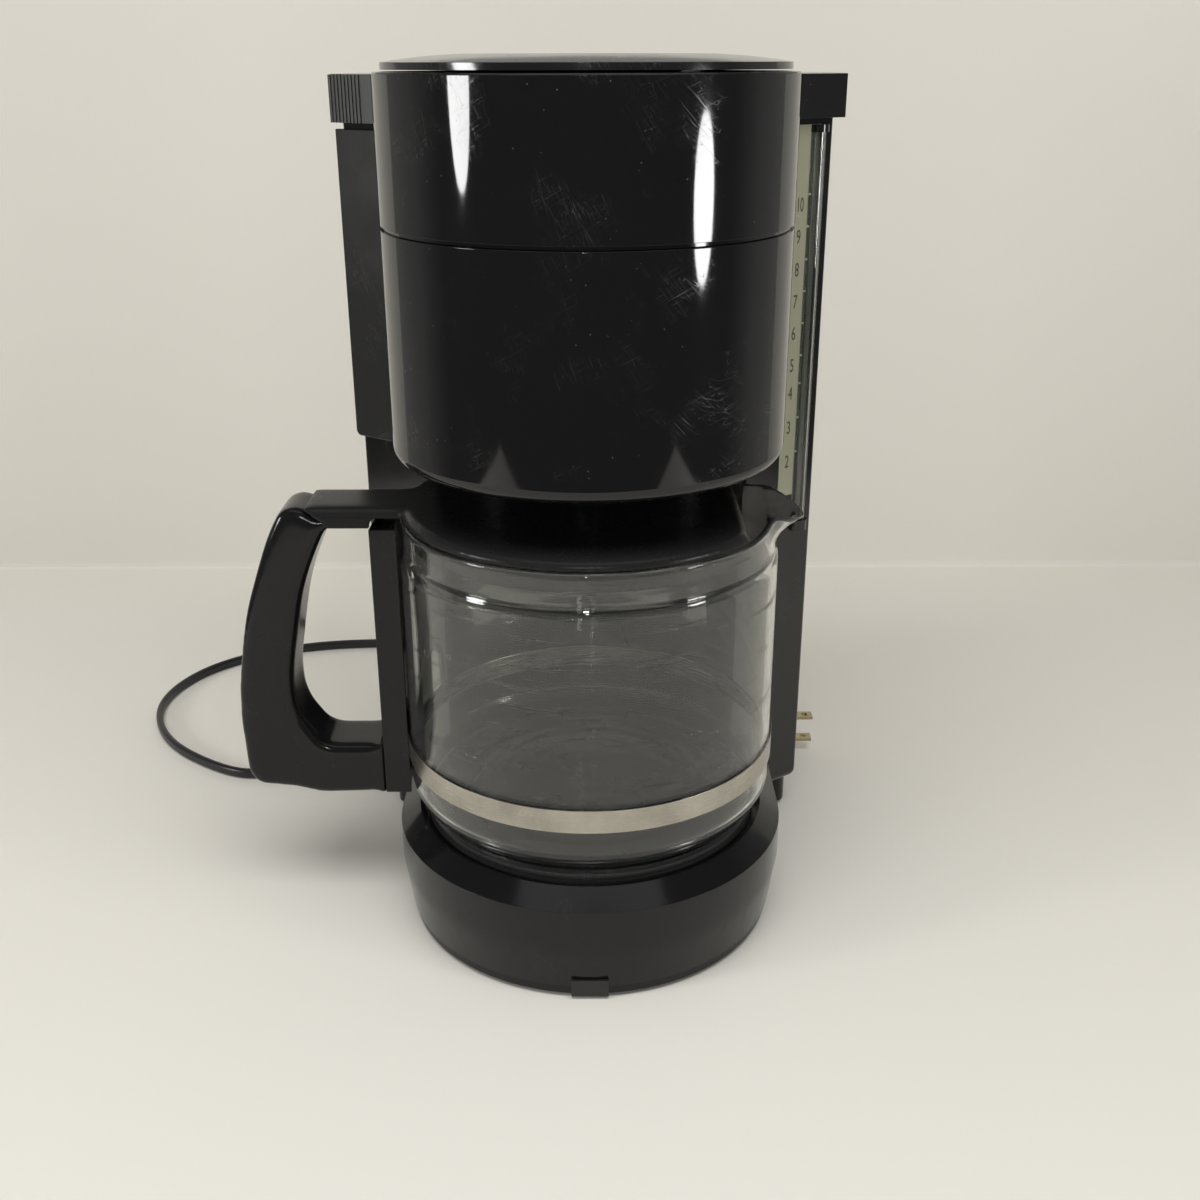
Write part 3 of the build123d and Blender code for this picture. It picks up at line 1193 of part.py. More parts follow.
with BuildPart() as band_screw:
    with BuildSketch(Plane(origin=spot(-POST_OUT - 0.05, 0, BAND_Z + BAND_H - 2.4),
                           z_dir=(-1, 0, 0))):
        Circle(2.6)
    extrude(amount=1.6)
band_screw.part.label = "band_screw"
export_step(band_screw.part, "parts/band_screw.step")

# ---- mains cord ---------------------------------------------------------
SLEEVE_END = PLINTH_HALF + SLEEVE_L
CORD_Z = CORD_R + 0.05
CORD_PATH = [
    (-SLEEVE_END, CORD_EXIT_Y, CORD_EXIT_Z),
    (-SLEEVE_END - 22.0, CORD_EXIT_Y, CORD_EXIT_Z),
    (-SLEEVE_END - 45.0, 96.0, CORD_Z),
    (-186.0, 97.0, CORD_Z),
    (-228.7, 130.5, CORD_Z),
    (-247.0, 178.0, CORD_Z),
    (-229.0, 227.0, CORD_Z),
    (-181.0, 256.0, CORD_Z),
    (-122.0, 262.0, CORD_Z),
    (-64.0, 256.0, CORD_Z),
    (-16.0, 229.0, CORD_Z),
    (0.0, 181.0, CORD_Z),
    (8.0, 145.0, CORD_Z + 1.5),
    (30.0, PLUG_Y, PLUG_Z),
    (PLUG_TAIL_X, PLUG_Y, PLUG_Z),
]
with BuildPart() as strain_relief:
    with BuildSketch(Plane(origin=spot(-PLINTH_HALF - 0.05, CORD_EXIT_Y, CORD_EXIT_Z),
                           z_dir=(-1, 0, 0))):
        Circle(6.0)
    extrude(amount=2.0)
    with BuildSketch(Plane(origin=spot(-PLINTH_HALF - 2.0, CORD_EXIT_Y, CORD_EXIT_Z),
                           z_dir=(-1, 0, 0))):
        Circle(5.2)
    extrude(amount=SLEEVE_L - 2.0, taper=4.5)
    # neck through the wall, with a flange inside
    with BuildSketch(Plane(origin=spot(-PLINTH_HALF - 0.1, CORD_EXIT_Y, CORD_EXIT_Z),
                           z_dir=(1, 0, 0))):
        Circle(4.2)
    extrude(amount=WALL + 2.6)
strain_relief.part.label = "strain_relief"
export_step(strain_relief.part, "parts/strain_relief.step")


def corner_radii(points):
    """Arc radius at each corner: 0.45 of the shorter run over the tangent of half the turn."""
    radii = []
    for before, here, after in zip(points, points[1:], points[2:]):
        first = Vector(*here) - Vector(*before)
        second = Vector(*after) - Vector(*here)
        shorter = min(first.length, second.length)
        turn = first.get_angle(second)
        radii.append(0.45 * shorter / tan(radians(turn / 2)))
    return radii


CORD_RADII = corner_radii(CORD_PATH)
print("cord radii", [round(radius) for radius in CORD_RADII])
with BuildPart() as power_cord:
    with BuildLine() as cord_line:
        FilletPolyline(*[spot(*point) for point in CORD_PATH], radius=CORD_RADII)
    with BuildSketch(Plane(origin=spot(*CORD_PATH[0]),
                           z_dir=Vector(*CORD_PATH[1]) - Vector(*CORD_PATH[0]))):
        Circle(CORD_R)
    sweep()
power_cord.part.label = "power_cord"
export_step(power_cord.part, "parts/power_cord.step")
CORD_LENGTH = sum(edge.length for edge in cord_line.edges())
print("cord length", round(CORD_LENGTH), "volume ratio",
      round(power_cord.part.volume / (pi * CORD_R ** 2 * CORD_LENGTH), 4))

PLUG_L = 31.0               # moulded body, from the tail to the blade face
PLUG_H = 24.0
PLUG_W = 15.0
TAIL_L = 12.0
BLADE_T = 1.5
BLADE_W = 6.3
BLADE_L = 17.0
PLUG_FACE_X = PLUG_TAIL_X + TAIL_L + PLUG_L
with BuildPart() as plug_body:
    with BuildSketch(Plane(origin=spot(PLUG_TAIL_X + 0.02, PLUG_Y, PLUG_Z),
                           x_dir=(0, 1, 0), z_dir=(1, 0, 0))):
        Circle(CORD_R + 1.4)
    with BuildSketch(Plane(origin=spot(PLUG_TAIL_X + TAIL_L, PLUG_Y, PLUG_Z),
                           x_dir=(0, 1, 0), z_dir=(1, 0, 0))):
        Circle(CORD_R + 2.6)
    loft()
    with BuildSketch(Plane(origin=spot(PLUG_TAIL_X + TAIL_L - 0.5, PLUG_Y, PLUG_Z),
                           x_dir=(0, 1, 0), z_dir=(1, 0, 0))):
        RectangleRounded(PLUG_W, PLUG_H, 4.0)
    extrude(amount=PLUG_L + 0.5)
plug_body.part.label = "plug_body"
export_step(plug_body.part, "parts/plug_body.step")

with BuildPart() as plug_blades:
    with BuildSketch(Plane(origin=spot(PLUG_FACE_X + 0.02, PLUG_Y, PLUG_Z),
                           x_dir=(0, 1, 0), z_dir=(1, 0, 0))):
        with GridLocations(1.0, BLADE_PITCH, 1, 2):
            Rectangle(BLADE_W, BLADE_T)
    extrude(amount=BLADE_L)
    with BuildSketch(Plane(origin=spot(0, PLUG_Y, 0))):
        with Locations((PLUG_FACE_X + BLADE_L - 4.0, 0)):
            Circle(1.6)
    extrude(amount=60.0, mode=Mode.SUBTRACT)
plug_blades.part.label = "plug_blades"
export_step(plug_blades.part, "parts/plug_blades.step")
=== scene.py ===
from math import atan2, cos, pi, radians, sin

import bpy
from mathutils import Euler, Matrix, Quaternion, Vector


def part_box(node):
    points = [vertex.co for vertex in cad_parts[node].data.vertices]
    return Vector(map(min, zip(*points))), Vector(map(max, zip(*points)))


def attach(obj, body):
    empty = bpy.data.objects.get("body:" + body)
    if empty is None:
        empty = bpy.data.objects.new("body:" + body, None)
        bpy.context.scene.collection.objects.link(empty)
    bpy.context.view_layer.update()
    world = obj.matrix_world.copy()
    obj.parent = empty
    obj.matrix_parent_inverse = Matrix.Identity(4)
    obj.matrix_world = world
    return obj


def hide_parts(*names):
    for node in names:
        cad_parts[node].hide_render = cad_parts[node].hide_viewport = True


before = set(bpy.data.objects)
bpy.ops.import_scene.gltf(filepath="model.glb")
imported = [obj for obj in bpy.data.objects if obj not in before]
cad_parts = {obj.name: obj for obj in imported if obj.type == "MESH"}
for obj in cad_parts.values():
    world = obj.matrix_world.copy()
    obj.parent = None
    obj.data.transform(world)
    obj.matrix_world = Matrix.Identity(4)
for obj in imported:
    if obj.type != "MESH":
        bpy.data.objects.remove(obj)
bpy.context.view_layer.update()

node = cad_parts
bpy.ops.object.select_all(action="DESELECT")

# ---- the room -----------------------------------------------------------
# A pale table that runs up into a pale wall, a round lamp at each side, a small one
# in front, a wide soft light overhead, and the camera in front at about the
# machine's own height. Everything is placed from the filter drum's upright axis.
cone_low, cone_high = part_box("filter_cone")
AXLE = Vector(((cone_low.x + cone_high.x) / 2, (cone_low.y + cone_high.y) / 2, 0))


def from_drum(x, y, z):
    return AXLE + Vector((x, y, z))


camera_data = bpy.data.cameras.new("camera")
camera_data.sensor_width = 36.0
camera_data.lens = 40.03
camera = bpy.data.objects.new("camera", camera_data)
bpy.context.collection.objects.link(camera)
camera.location = from_drum(0.0033, -0.5029, 0.3404)
pitch_and_yaw = Euler((radians(67.965), 0, radians(-0.116))).to_quaternion()
camera.rotation_mode = "QUATERNION"
camera.rotation_quaternion = pitch_and_yaw @ Quaternion((0, 0, 1), radians(-0.111))
bpy.context.scene.camera = camera
bpy.context.scene.view_settings.view_transform = "Standard"


def lamp(name, place, aim, shape, size, power, colour=(1, 1, 1)):
    """A flat soft lamp, aimed at a point."""
    data = bpy.data.lights.new(name, "AREA")
    data.shape = shape
    data.size, data.size_y = size
    data.energy = power
    data.color = colour
    light = bpy.data.objects.new(name, data)
    bpy.context.collection.objects.link(light)
    light.location = place
    light.rotation_euler = (aim - place).to_track_quat("-Z", "Y").to_euler()
    return light


middle = from_drum(0, 0, 0.2)
lamp("left_lamp", from_drum(-0.965, -0.43, 0.33), middle, "DISK", (0.24, 0.24), 3.4)
lamp("right_lamp", from_drum(0.935, -0.50, 0.206), middle, "ELLIPSE", (0.22, 0.175), 2.6)
lamp("ceiling_panel", from_drum(0, -0.24, 1.05), from_drum(0, -0.2, 0), "RECTANGLE",
     (1.1, 0.5), 1.3)
flood = lamp("flood", from_drum(0, -0.50, 1.1), from_drum(0, -0.48, 0), "RECTANGLE",
             (1.2, 0.5), 8.9)
flood.visible_glossy = False
lamp("wall_wash", from_drum(0, 0.1, 0.95), from_drum(0, 0.42, 0.15), "RECTANGLE",
     (1.3, 0.2), 0.35)
lamp("spark", from_drum(-0.02, -0.95, 0.47), middle, "DISK", (0.05, 0.05), 0.9)

world = bpy.data.worlds.new("room")
bpy.context.scene.world = world
world.use_nodes = True
sky, wires = world.node_tree.nodes, world.node_tree.links


def ramp(tree, value, low, high, start=0.0, end=1.0):
    """Straight ramp of a value between two stops."""
    made = tree.nodes.new("ShaderNodeMapRange")
    made.inputs["From Min"].default_value = low
    made.inputs["From Max"].default_value = high
    made.inputs["To Min"].default_value = start
    made.inputs["To Max"].default_value = end
    tree.links.new(value, made.inputs["Value"])
    return made.outputs["Result"]


def combined(tree, operation, first, second):
    """Two values through a math node; either may be a plain number."""
    made = tree.nodes.new("ShaderNodeMath")
    made.operation = operation
    for socket, value in zip(made.inputs, (first, second)):
        if isinstance(value, (int, float)):
            socket.default_value = value
        else:
            tree.links.new(value, socket)
    return made.outputs[0]


way = sky.new("ShaderNodeTexCoord")
split = sky.new("ShaderNodeSeparateXYZ")
wires.new(way.outputs["Generated"], split.inputs[0])
behind = ramp(world.node_tree, split.outputs["Y"], -0.12, 0.22)
low_down = ramp(world.node_tree, split.outputs["Z"], 0.62, 0.30)
glow = combined(world.node_tree, "MULTIPLY", behind, low_down)
seen = ramp(world.node_tree, glow, 0.0, 1.0, 0.10, 0.34)
direct = sky.new("ShaderNodeLightPath")
shown = combined(world.node_tree, "MULTIPLY", direct.outputs["Is Camera Ray"], 0.8)
strength = combined(world.node_tree, "MAXIMUM", seen, shown)
wires.new(strength, sky["Background"].inputs["Strength"])
sky["Background"].inputs["Color"].default_value = (1.0, 0.985, 0.955, 1)

paint = bpy.data.materials.new("pale_paint")
paint.use_nodes = True
tree = paint.node_tree
coat = tree.nodes["Principled BSDF"]
coat.inputs["Base Color"].default_value = (0.84, 0.815, 0.745, 1)
coat.inputs["Roughness"].default_value = 0.75
clear = tree.nodes.new("ShaderNodeBsdfTransparent")
facing = tree.nodes.new("ShaderNodeNewGeometry")
one_sided = tree.nodes.new("ShaderNodeMixShader")
tree.links.new(facing.outputs["Backfacing"], one_sided.inputs[0])
tree.links.new(coat.outputs[0], one_sided.inputs[1])
tree.links.new(clear.outputs[0], one_sided.inputs[2])
tree.links.new(one_sided.outputs[0], tree.nodes["Material Output"].inputs["Surface"])

TABLE_HALF, TABLE_FRONT, TABLE_BACK, WALL_RISE = 0.64, -0.58, 0.400, 0.43
bpy.ops.mesh.primitive_plane_add(size=1, location=from_drum(0, 0, 0))
table = bpy.context.object
table.name = "table"
bpy.ops.object.transform_apply(location=True, rotation=False, scale=False)
bpy.ops.object.mode_set(mode="EDIT")
bpy.ops.transform.resize(value=(2 * TABLE_HALF, TABLE_BACK - TABLE_FRONT, 1),
                         center_override=from_drum(0, 0, 0))
bpy.ops.transform.translate(value=(0, (TABLE_BACK + TABLE_FRONT) / 2, 0))
bpy.ops.mesh.select_all(action="DESELECT")
bpy.ops.object.mode_set(mode="OBJECT")
for edge in table.data.edges:
    edge.select = all(table.data.vertices[v].co.y > AXLE.y + 0.3 for v in edge.vertices)
bpy.ops.object.mode_set(mode="EDIT")
bpy.ops.mesh.select_mode(type="EDGE")
for forward, up in ((0.003, 0.0008), (0.0015, 0.0022), (0.002, WALL_RISE)):
    bpy.ops.mesh.extrude_region_move(TRANSFORM_OT_translate={"value": (0, forward, up)})
bpy.ops.mesh.select_all(action="SELECT")
bpy.ops.mesh.normals_make_consistent(inside=False)
bpy.ops.object.mode_set(mode="OBJECT")
if table.data.polygons[0].normal.z < 0:
    table.data.flip_normals()
table.data.materials.append(paint)
# The upright wall takes a darker copy of the table's paint: painted shade, standing in for the
# wall catching less light than the table top.
wall_painted_shade = paint.copy()
wall_painted_shade.name = "wall_painted_shade"
wall_painted_shade.node_tree.nodes["Principled BSDF"].inputs["Base Color"].default_value = \
    (0.72, 0.695, 0.63, 1)
table.data.materials.append(wall_painted_shade)
for face in table.data.polygons:
    face.material_index = int(abs(face.normal.y) > 0.8)

bpy.ops.object.select_all(action="DESELECT")
bpy.ops.mesh.primitive_plane_add(size=8, location=from_drum(0, 0, -0.0008))
far_floor = bpy.context.object
far_floor.name = "far_floor"
bpy.ops.object.transform_apply(location=True, rotation=False, scale=False)
far_floor.visible_glossy = False
far_paint = paint.copy()
far_paint.name = "far_paint"
far_coat = far_paint.node_tree.nodes["Principled BSDF"]
far_coat.inputs["Emission Color"].default_value = (1.0, 0.985, 0.955, 1)
far_coat.inputs["Emission Strength"].default_value = 0.3
far_floor.data.materials.append(far_paint)

# ---- mains lead ---------------------------------------------------------
# Flat two-core lead in soft black vinyl. It leaves the tower's foot on the left,
# drops to the table, loops round behind and comes back to the plug.
LEAD_ROUTE = [
    (-0.1190, 0.0970, 0.01050), (-0.1410, 0.0970, 0.01050), (-0.1640, 0.0960, 0.00280),
    (-0.1860, 0.0970, 0.00280), (-0.2287, 0.1305, 0.00280), (-0.2470, 0.1780, 0.00280),
    (-0.2290, 0.2270, 0.00280), (-0.1810, 0.2560, 0.00280), (-0.1220, 0.2620, 0.00280),
    (-0.0640, 0.2560, 0.00280), (-0.0160, 0.2290, 0.00280), (0.0000, 0.1810, 0.00280),
    (0.0080, 0.1450, 0.00430), (0.0300, 0.1260, 0.01350), (0.0560, 0.1260, 0.01350),
]
LEAD_WIDTH = 0.0054
LEAD_THICK = 0.0040


def add_sockets(group, labels, side):
    for label, kind in labels:
        group.interface.new_socket(label, in_out=side, socket_type="NodeSocket" + kind)


def noise(tree, place, scale, detail=2.0, rough=0.5, stretch=None, turn=None):
    """Noise at a place; stretch and turn make it run in streaks."""
    made = tree.nodes.new("ShaderNodeTexNoise")
    made.inputs["Scale"].default_value = scale
    made.inputs["Detail"].default_value = detail
    made.inputs["Roughness"].default_value = rough
    if stretch:
        squeeze = tree.nodes.new("ShaderNodeMapping")
        squeeze.vector_type = "TEXTURE"
        squeeze.inputs["Scale"].default_value = [1 / s for s in stretch]
        squeeze.inputs["Rotation"].default_value = turn or (0, 0, 0)
        tree.links.new(place, squeeze.inputs["Vector"])
        place = squeeze.outputs["Vector"]
    tree.links.new(place, made.inputs["Vector"])
    return made.outputs["Fac"]


# Handled plastic: hazy smears, hairline scratches in patches, settled dust, mould grain.
skin = bpy.data.node_groups.new("handled_skin", "ShaderNodeTree")
add_sockets(skin, (("Colour", "Color"), ("Roughness", "Float"), ("Smears", "Float"),
                   ("Scratches", "Float"), ("Grain", "Float"), ("Grain Size", "Float")), "INPUT")
add_sockets(skin, (("Colour", "Color"), ("Roughness", "Float"), ("Normal", "Vector")), "OUTPUT")
taken = skin.nodes.new("NodeGroupInput")
given = skin.nodes.new("NodeGroupOutput")
place = skin.nodes.new("ShaderNodeTexCoord").outputs["Object"]
cloud = ramp(skin, noise(skin, place, 22.0, 5.0, 0.62), 0.44, 0.74)
haze = combined(skin, "MULTIPLY", cloud, taken.outputs["Smears"])
hairs = None
for turn in ((0.5, 0.9, 0.2), (1.3, -0.6, 0.8), (-0.4, 0.3, 1.9)):
    streak = noise(skin, place, 1.0, 1.0, 0.5, (30.0, 34.0, 1300.0), turn)
    off_centre = combined(skin, "ABSOLUTE", combined(skin, "SUBTRACT", streak, 0.5), 0)
    line = ramp(skin, off_centre, 0.006, 0.001)
    hairs = line if hairs is None else combined(skin, "MAXIMUM", hairs, line)
patches = ramp(skin, noise(skin, place, 34.0, 3.0, 0.6), 0.52, 0.66)
marks = combined(skin, "MULTIPLY", combined(skin, "MULTIPLY", hairs, patches),
                 taken.outputs["Scratches"])
duller = combined(skin, "MULTIPLY_ADD", marks, 0.32)
duller.node.inputs[2].default_value = 0.0
rough = combined(skin, "ADD", combined(skin, "ADD", taken.outputs["Roughness"], haze), duller)
rough.node.use_clamp = True
skin.links.new(rough, given.inputs["Roughness"])
speck = skin.nodes.new("ShaderNodeTexVoronoi")
speck.inputs["Scale"].default_value = 330.0
skin.links.new(place, speck.inputs["Vector"])
dust = combined(skin, "MULTIPLY", ramp(skin, speck.outputs["Distance"], 0.085, 0.03),
                ramp(skin, noise(skin, place, 90.0, 1.0), 0.55, 0.66, 0.0, 0.5))
pale = combined(skin, "MAXIMUM", combined(skin, "MULTIPLY", marks, 0.10),
                combined(skin, "MULTIPLY", dust, taken.outputs["Scratches"]))
dusty = skin.nodes.new("ShaderNodeMix")
dusty.data_type = "RGBA"
dusty.inputs["B"].default_value = (0.30, 0.29, 0.27, 1)
skin.links.new(pale, dusty.inputs["Factor"])
skin.links.new(taken.outputs["Colour"], dusty.inputs["A"])
skin.links.new(dusty.outputs["Result"], given.inputs["Colour"])
grain = skin.nodes.new("ShaderNodeTexNoise")
grain.inputs["Detail"].default_value = 2.0
skin.links.new(place, grain.inputs["Vector"])
skin.links.new(combined(skin, "DIVIDE", 1.0, taken.outputs["Grain Size"]), grain.inputs["Scale"])
bump = skin.nodes.new("ShaderNodeBump")
bump.inputs["Distance"].default_value = 0.0003
skin.links.new(taken.outputs["Grain"], bump.inputs["Strength"])
skin.links.new(grain.outputs["Fac"], bump.inputs["Height"])
skin.links.new(bump.outputs["Normal"], given.inputs["Normal"])


def plastic(name, colour, roughness, grain=0.0, grain_size=0.0006, smears=0.0, scratches=0.0,
            specular=0.5):
    """Moulded plastic or vinyl with a fine grain and the marks of handling."""
    material = bpy.data.materials.new(name)
    material.use_nodes = True
    tree = material.node_tree
    surface = tree.nodes["Principled BSDF"]
    surface.inputs["Specular IOR Level"].default_value = specular
    worn = tree.nodes.new("ShaderNodeGroup")
    worn.node_tree = skin
    for label, value in (("Colour", (*colour, 1)), ("Roughness", roughness), ("Smears", smears),
                         ("Scratches", scratches), ("Grain", grain), ("Grain Size", grain_size)):
        worn.inputs[label].default_value = value
    tree.links.new(worn.outputs["Colour"], surface.inputs["Base Color"])
    tree.links.new(worn.outputs["Roughness"], surface.inputs["Roughness"])
    tree.links.new(worn.outputs["Normal"], surface.inputs["Normal"])
    return material


def finish(material, *names):
    """Gives CAD mouldings that keep their shape their finish."""
    for name in names:
        node[name].data.materials.clear()
        node[name].data.materials.append(material)


lead_vinyl = plastic("lead_vinyl", (0.012, 0.012, 0.013), 0.34, 0.10, 0.0009, 0.15, 0.5)

route_curve = bpy.data.curves.new("lead_route", "CURVE")
route_curve.dimensions = "3D"
route_curve.resolution_u = 24
spline = route_curve.splines.new("NURBS")
spline.points.add(len(LEAD_ROUTE) - 1)
for point, spot in zip(spline.points, LEAD_ROUTE):
    point.co = (*from_drum(*spot), 1)
spline.order_u = 3
spline.use_endpoint_u = True
route = bpy.data.objects.new("lead_route", route_curve)
bpy.context.collection.objects.link(route)
line_mesh = bpy.data.meshes.new_from_object(route)
lead_line = [Vector(v.co) for v in line_mesh.vertices]
bpy.data.meshes.remove(line_mesh)
bpy.data.objects.remove(route)

LEAD_SIDES = 20
section = []
for k in range(LEAD_SIDES):
    turn = 2 * pi * k / LEAD_SIDES
    waist = 1 - 0.20 * max(0.0, 1 - (sin(turn) / 0.38) ** 2)
    section.append((0.5 * LEAD_THICK * cos(turn) * waist, 0.5 * LEAD_WIDTH * sin(turn)))
verts, faces = [], []
for i, here in enumerate(lead_line):
    ahead = lead_line[min(i + 1, len(lead_line) - 1)] - lead_line[max(i - 1, 0)]
    across = ahead.cross(Vector((0, 0, 1))).normalized()
    up = across.cross(ahead).normalized()
    verts += [here + across * u + up * v for u, v in section]
for i in range(len(lead_line) - 1):
    for k in range(LEAD_SIDES):
        a, b = i * LEAD_SIDES + k, i * LEAD_SIDES + (k + 1) % LEAD_SIDES
        faces.append((a, b, b + LEAD_SIDES, a + LEAD_SIDES))
faces.append(tuple(range(LEAD_SIDES - 1, -1, -1)))
faces.append(tuple(range(len(verts) - LEAD_SIDES, len(verts))))
lead_mesh = bpy.data.meshes.new("mains_lead")
lead_mesh.from_pydata([tuple(v) for v in verts], [], faces)
for face in lead_mesh.polygons:
    face.use_smooth = len(face.vertices) == 4
lead = bpy.data.objects.new("mains_lead", lead_mesh)
bpy.context.collection.objects.link(lead)
bpy.ops.object.select_all(action="DESELECT")
bpy.context.view_layer.objects.active = lead
lead.select_set(True)
bpy.ops.object.mode_set(mode="EDIT")
bpy.ops.mesh.select_all(action="SELECT")
bpy.ops.mesh.normals_make_consistent(inside=False)
bpy.ops.object.mode_set(mode="OBJECT")
lead_mesh.materials.append(lead_vinyl)
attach(lead, "machine")
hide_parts("power_cord")

# ---- sleeve and plug ----------------------------------------------------
# A ribbed, tapered vinyl sleeve guards the lead where it leaves the tower's foot.
# The plug is moulded onto the lead in the same vinyl, with two flat blades.
sleeve_low, sleeve_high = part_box("strain_relief")
SLEEVE_R = (sleeve_high.z - sleeve_low.z) / 2
SLEEVE_AXIS = (sleeve_low + sleeve_high) / 2
SLEEVE_TIP_R = 0.0033
RIBS = 6


def drawn_out(name, along, start, rings, sides):
    """A round closed shape grown ring by ring along X or Z; rings are (distance, radius)."""
    heading = Vector((1, 0, 0)) if along == "X" else Vector((0, 0, 1))
    here = start + heading * rings[0][0]
    bpy.ops.object.select_all(action="DESELECT")
    bpy.ops.mesh.primitive_circle_add(vertices=sides, radius=rings[0][1], fill_type="NGON",
                                      location=here,
                                      rotation=(0, pi / 2 if along == "X" else 0, 0))
    piece = bpy.context.object
    piece.name = name
    bpy.ops.object.transform_apply(location=True, rotation=True, scale=True)
    bpy.ops.object.mode_set(mode="EDIT")
    bpy.ops.mesh.select_all(action="SELECT")
    for (before, old), (after, new) in zip(rings, rings[1:]):
        step = heading * (after - before)
        here = here + step
        wider = new / old
        bpy.ops.mesh.extrude_region_move(TRANSFORM_OT_translate={"value": step})
        bpy.ops.transform.resize(value=(1 if along == "X" else wider, wider,
                                        wider if along == "X" else 1), center_override=here)
    bpy.ops.mesh.select_all(action="SELECT")
    bpy.ops.mesh.remove_doubles(threshold=1e-6)
    bpy.ops.mesh.normals_make_consistent(inside=False)
    bpy.ops.object.mode_set(mode="OBJECT")
    bpy.ops.object.shade_smooth_by_angle(angle=radians(40))
    return piece


sleeve_length = sleeve_high.x - sleeve_low.x
sleeve_rings = [(0.0, SLEEVE_R - 0.0004), (0.0005, SLEEVE_R), (0.0030, SLEEVE_R)]
rib_pitch = (sleeve_length - 0.0045) / RIBS
for k in range(RIBS):
    at = 0.0030 + k * rib_pitch
    wide = SLEEVE_R + (SLEEVE_TIP_R - SLEEVE_R) * (k + 1) / RIBS
    sleeve_rings += [(at + 0.0002, wide - 0.0007), (at + 0.4 * rib_pitch, wide - 0.0007),
                     (at + 0.4 * rib_pitch + 0.0002, wide), (at + rib_pitch, wide)]
sleeve_rings += [(sleeve_length - 0.0004, SLEEVE_TIP_R), (sleeve_length, SLEEVE_TIP_R - 0.0004)]
sleeve_rings = [(-distance, radius) for distance, radius in sleeve_rings]
sleeve = drawn_out("lead_sleeve", "X", Vector((sleeve_high.x, SLEEVE_AXIS.y, SLEEVE_AXIS.z)),
                   sleeve_rings, 40)
sleeve.data.materials.append(lead_vinyl)
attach(sleeve, "machine")
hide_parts("strain_relief")


def softened(name, source, width, picked, steps=3, sharper_than=25.0):
    """A copy of a moulding whose sharp corners, picked by place, are rounded off.
    Its flat faces are joined up first, so that the rounding runs clean round them."""
    piece = bpy.data.objects.new(name, node[source].data.copy())
    bpy.context.collection.objects.link(piece)
    piece.data.materials.clear()
    bpy.ops.object.select_all(action="DESELECT")
    bpy.context.view_layer.objects.active = piece
    piece.select_set(True)
    bpy.ops.mesh.customdata_custom_splitnormals_clear()
    bpy.ops.object.mode_set(mode="EDIT")
    bpy.ops.mesh.select_mode(type="EDGE")
    bpy.ops.mesh.select_all(action="SELECT")
    bpy.ops.mesh.remove_doubles(threshold=1e-6)
    bpy.ops.mesh.dissolve_limited(angle_limit=radians(0.4))
    bpy.ops.mesh.select_all(action="DESELECT")
    bpy.ops.mesh.edges_select_sharp(sharpness=radians(sharper_than))
    bpy.ops.object.mode_set(mode="OBJECT")
    corners = piece.data.vertices
    for edge in piece.data.edges:
        if edge.select:
            a, b = (corners[v].co - AXLE for v in edge.vertices)
            edge.select = bool(picked(a) and picked(b))
    bpy.ops.object.mode_set(mode="EDIT")
    bpy.ops.mesh.bevel(offset=width, segments=steps, profile=0.5, clamp_overlap=True)
    bpy.ops.object.mode_set(mode="OBJECT")
    bpy.ops.object.shade_smooth_by_angle(angle=radians(32))
    even = piece.modifiers.new("even", "WEIGHTED_NORMAL")
    even.keep_sharp = True
    bpy.ops.object.modifier_apply(modifier="even")
    return piece


def placed(piece, body, source, material):
    """Fits a finished piece to its body in place of the CAD moulding."""
    piece.data.materials.append(material)
    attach(piece, body)
    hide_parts(source)


placed(softened("moulded_plug", "plug_body", 0.0018, lambda p: True, 4),
       "machine", "plug_body", lead_vinyl)


def metal(name, colour, low, high, draw, stretch=(60, 60, 2600), darker=0.75):
    """Bare metal with draw marks, uneven polish and a darker film in places."""
    material = bpy.data.materials.new(name)
    material.use_nodes = True
    tree = material.node_tree
    surface = tree.nodes["Principled BSDF"]
    surface.inputs["Metallic"].default_value = 1.0
    place = tree.nodes.new("ShaderNodeTexCoord").outputs["Object"]
    marks = noise(tree, place, 1.0, 4.0, 0.5, stretch)
    film = ramp(tree, noise(tree, place, 45.0, 3.0, 0.6), 0.35, 0.7)
    tone = tree.nodes.new("ShaderNodeMix")
    tone.data_type = "RGBA"
    tone.inputs["A"].default_value = (*colour, 1)
    tone.inputs["B"].default_value = (*(c * darker for c in colour), 1)
    tree.links.new(film, tone.inputs["Factor"])
    tree.links.new(tone.outputs["Result"], surface.inputs["Base Color"])
    tree.links.new(ramp(tree, marks, 0.3, 0.7, low, high), surface.inputs["Roughness"])
    bump = tree.nodes.new("ShaderNodeBump")
    bump.inputs["Strength"].default_value = draw
    bump.inputs["Distance"].default_value = 0.0001
    tree.links.new(marks, bump.inputs["Height"])
    tree.links.new(bump.outputs["Normal"], surface.inputs["Normal"])
    return material


finish(metal("blade_brass", (0.52, 0.44, 0.28), 0.26, 0.42, 0.2, (500, 60, 60)), "plug_blades")

# ---- base ---------------------------------------------------------------
# Round moulded base, glossy black, with a slanted ring round the plate and a
# plinth at the back for the tower. A screwed pan on rubber feet closes it below.
base_gloss = plastic("base_gloss", (0.006, 0.006, 0.0065), 0.12, 0.02, 0.003, 0.07, 0.5, 0.36)
base = softened("base_moulding", "base_shell", 0.0006, lambda p: p.z > 0.030)
placed(base, "machine", "base_shell", base_gloss)
finish(base_gloss, "base_pan")
foot_rubber = plastic("foot_rubber", (0.014, 0.014, 0.014), 0.55, 0.25, 0.0012, 0.1, 0.6)
finish(foot_rubber, "rubber_feet", "front_foot")
zinc = metal("zinc_plate", (0.60, 0.60, 0.62), 0.26, 0.42, 0.1)
finish(zinc, "pan_screws")

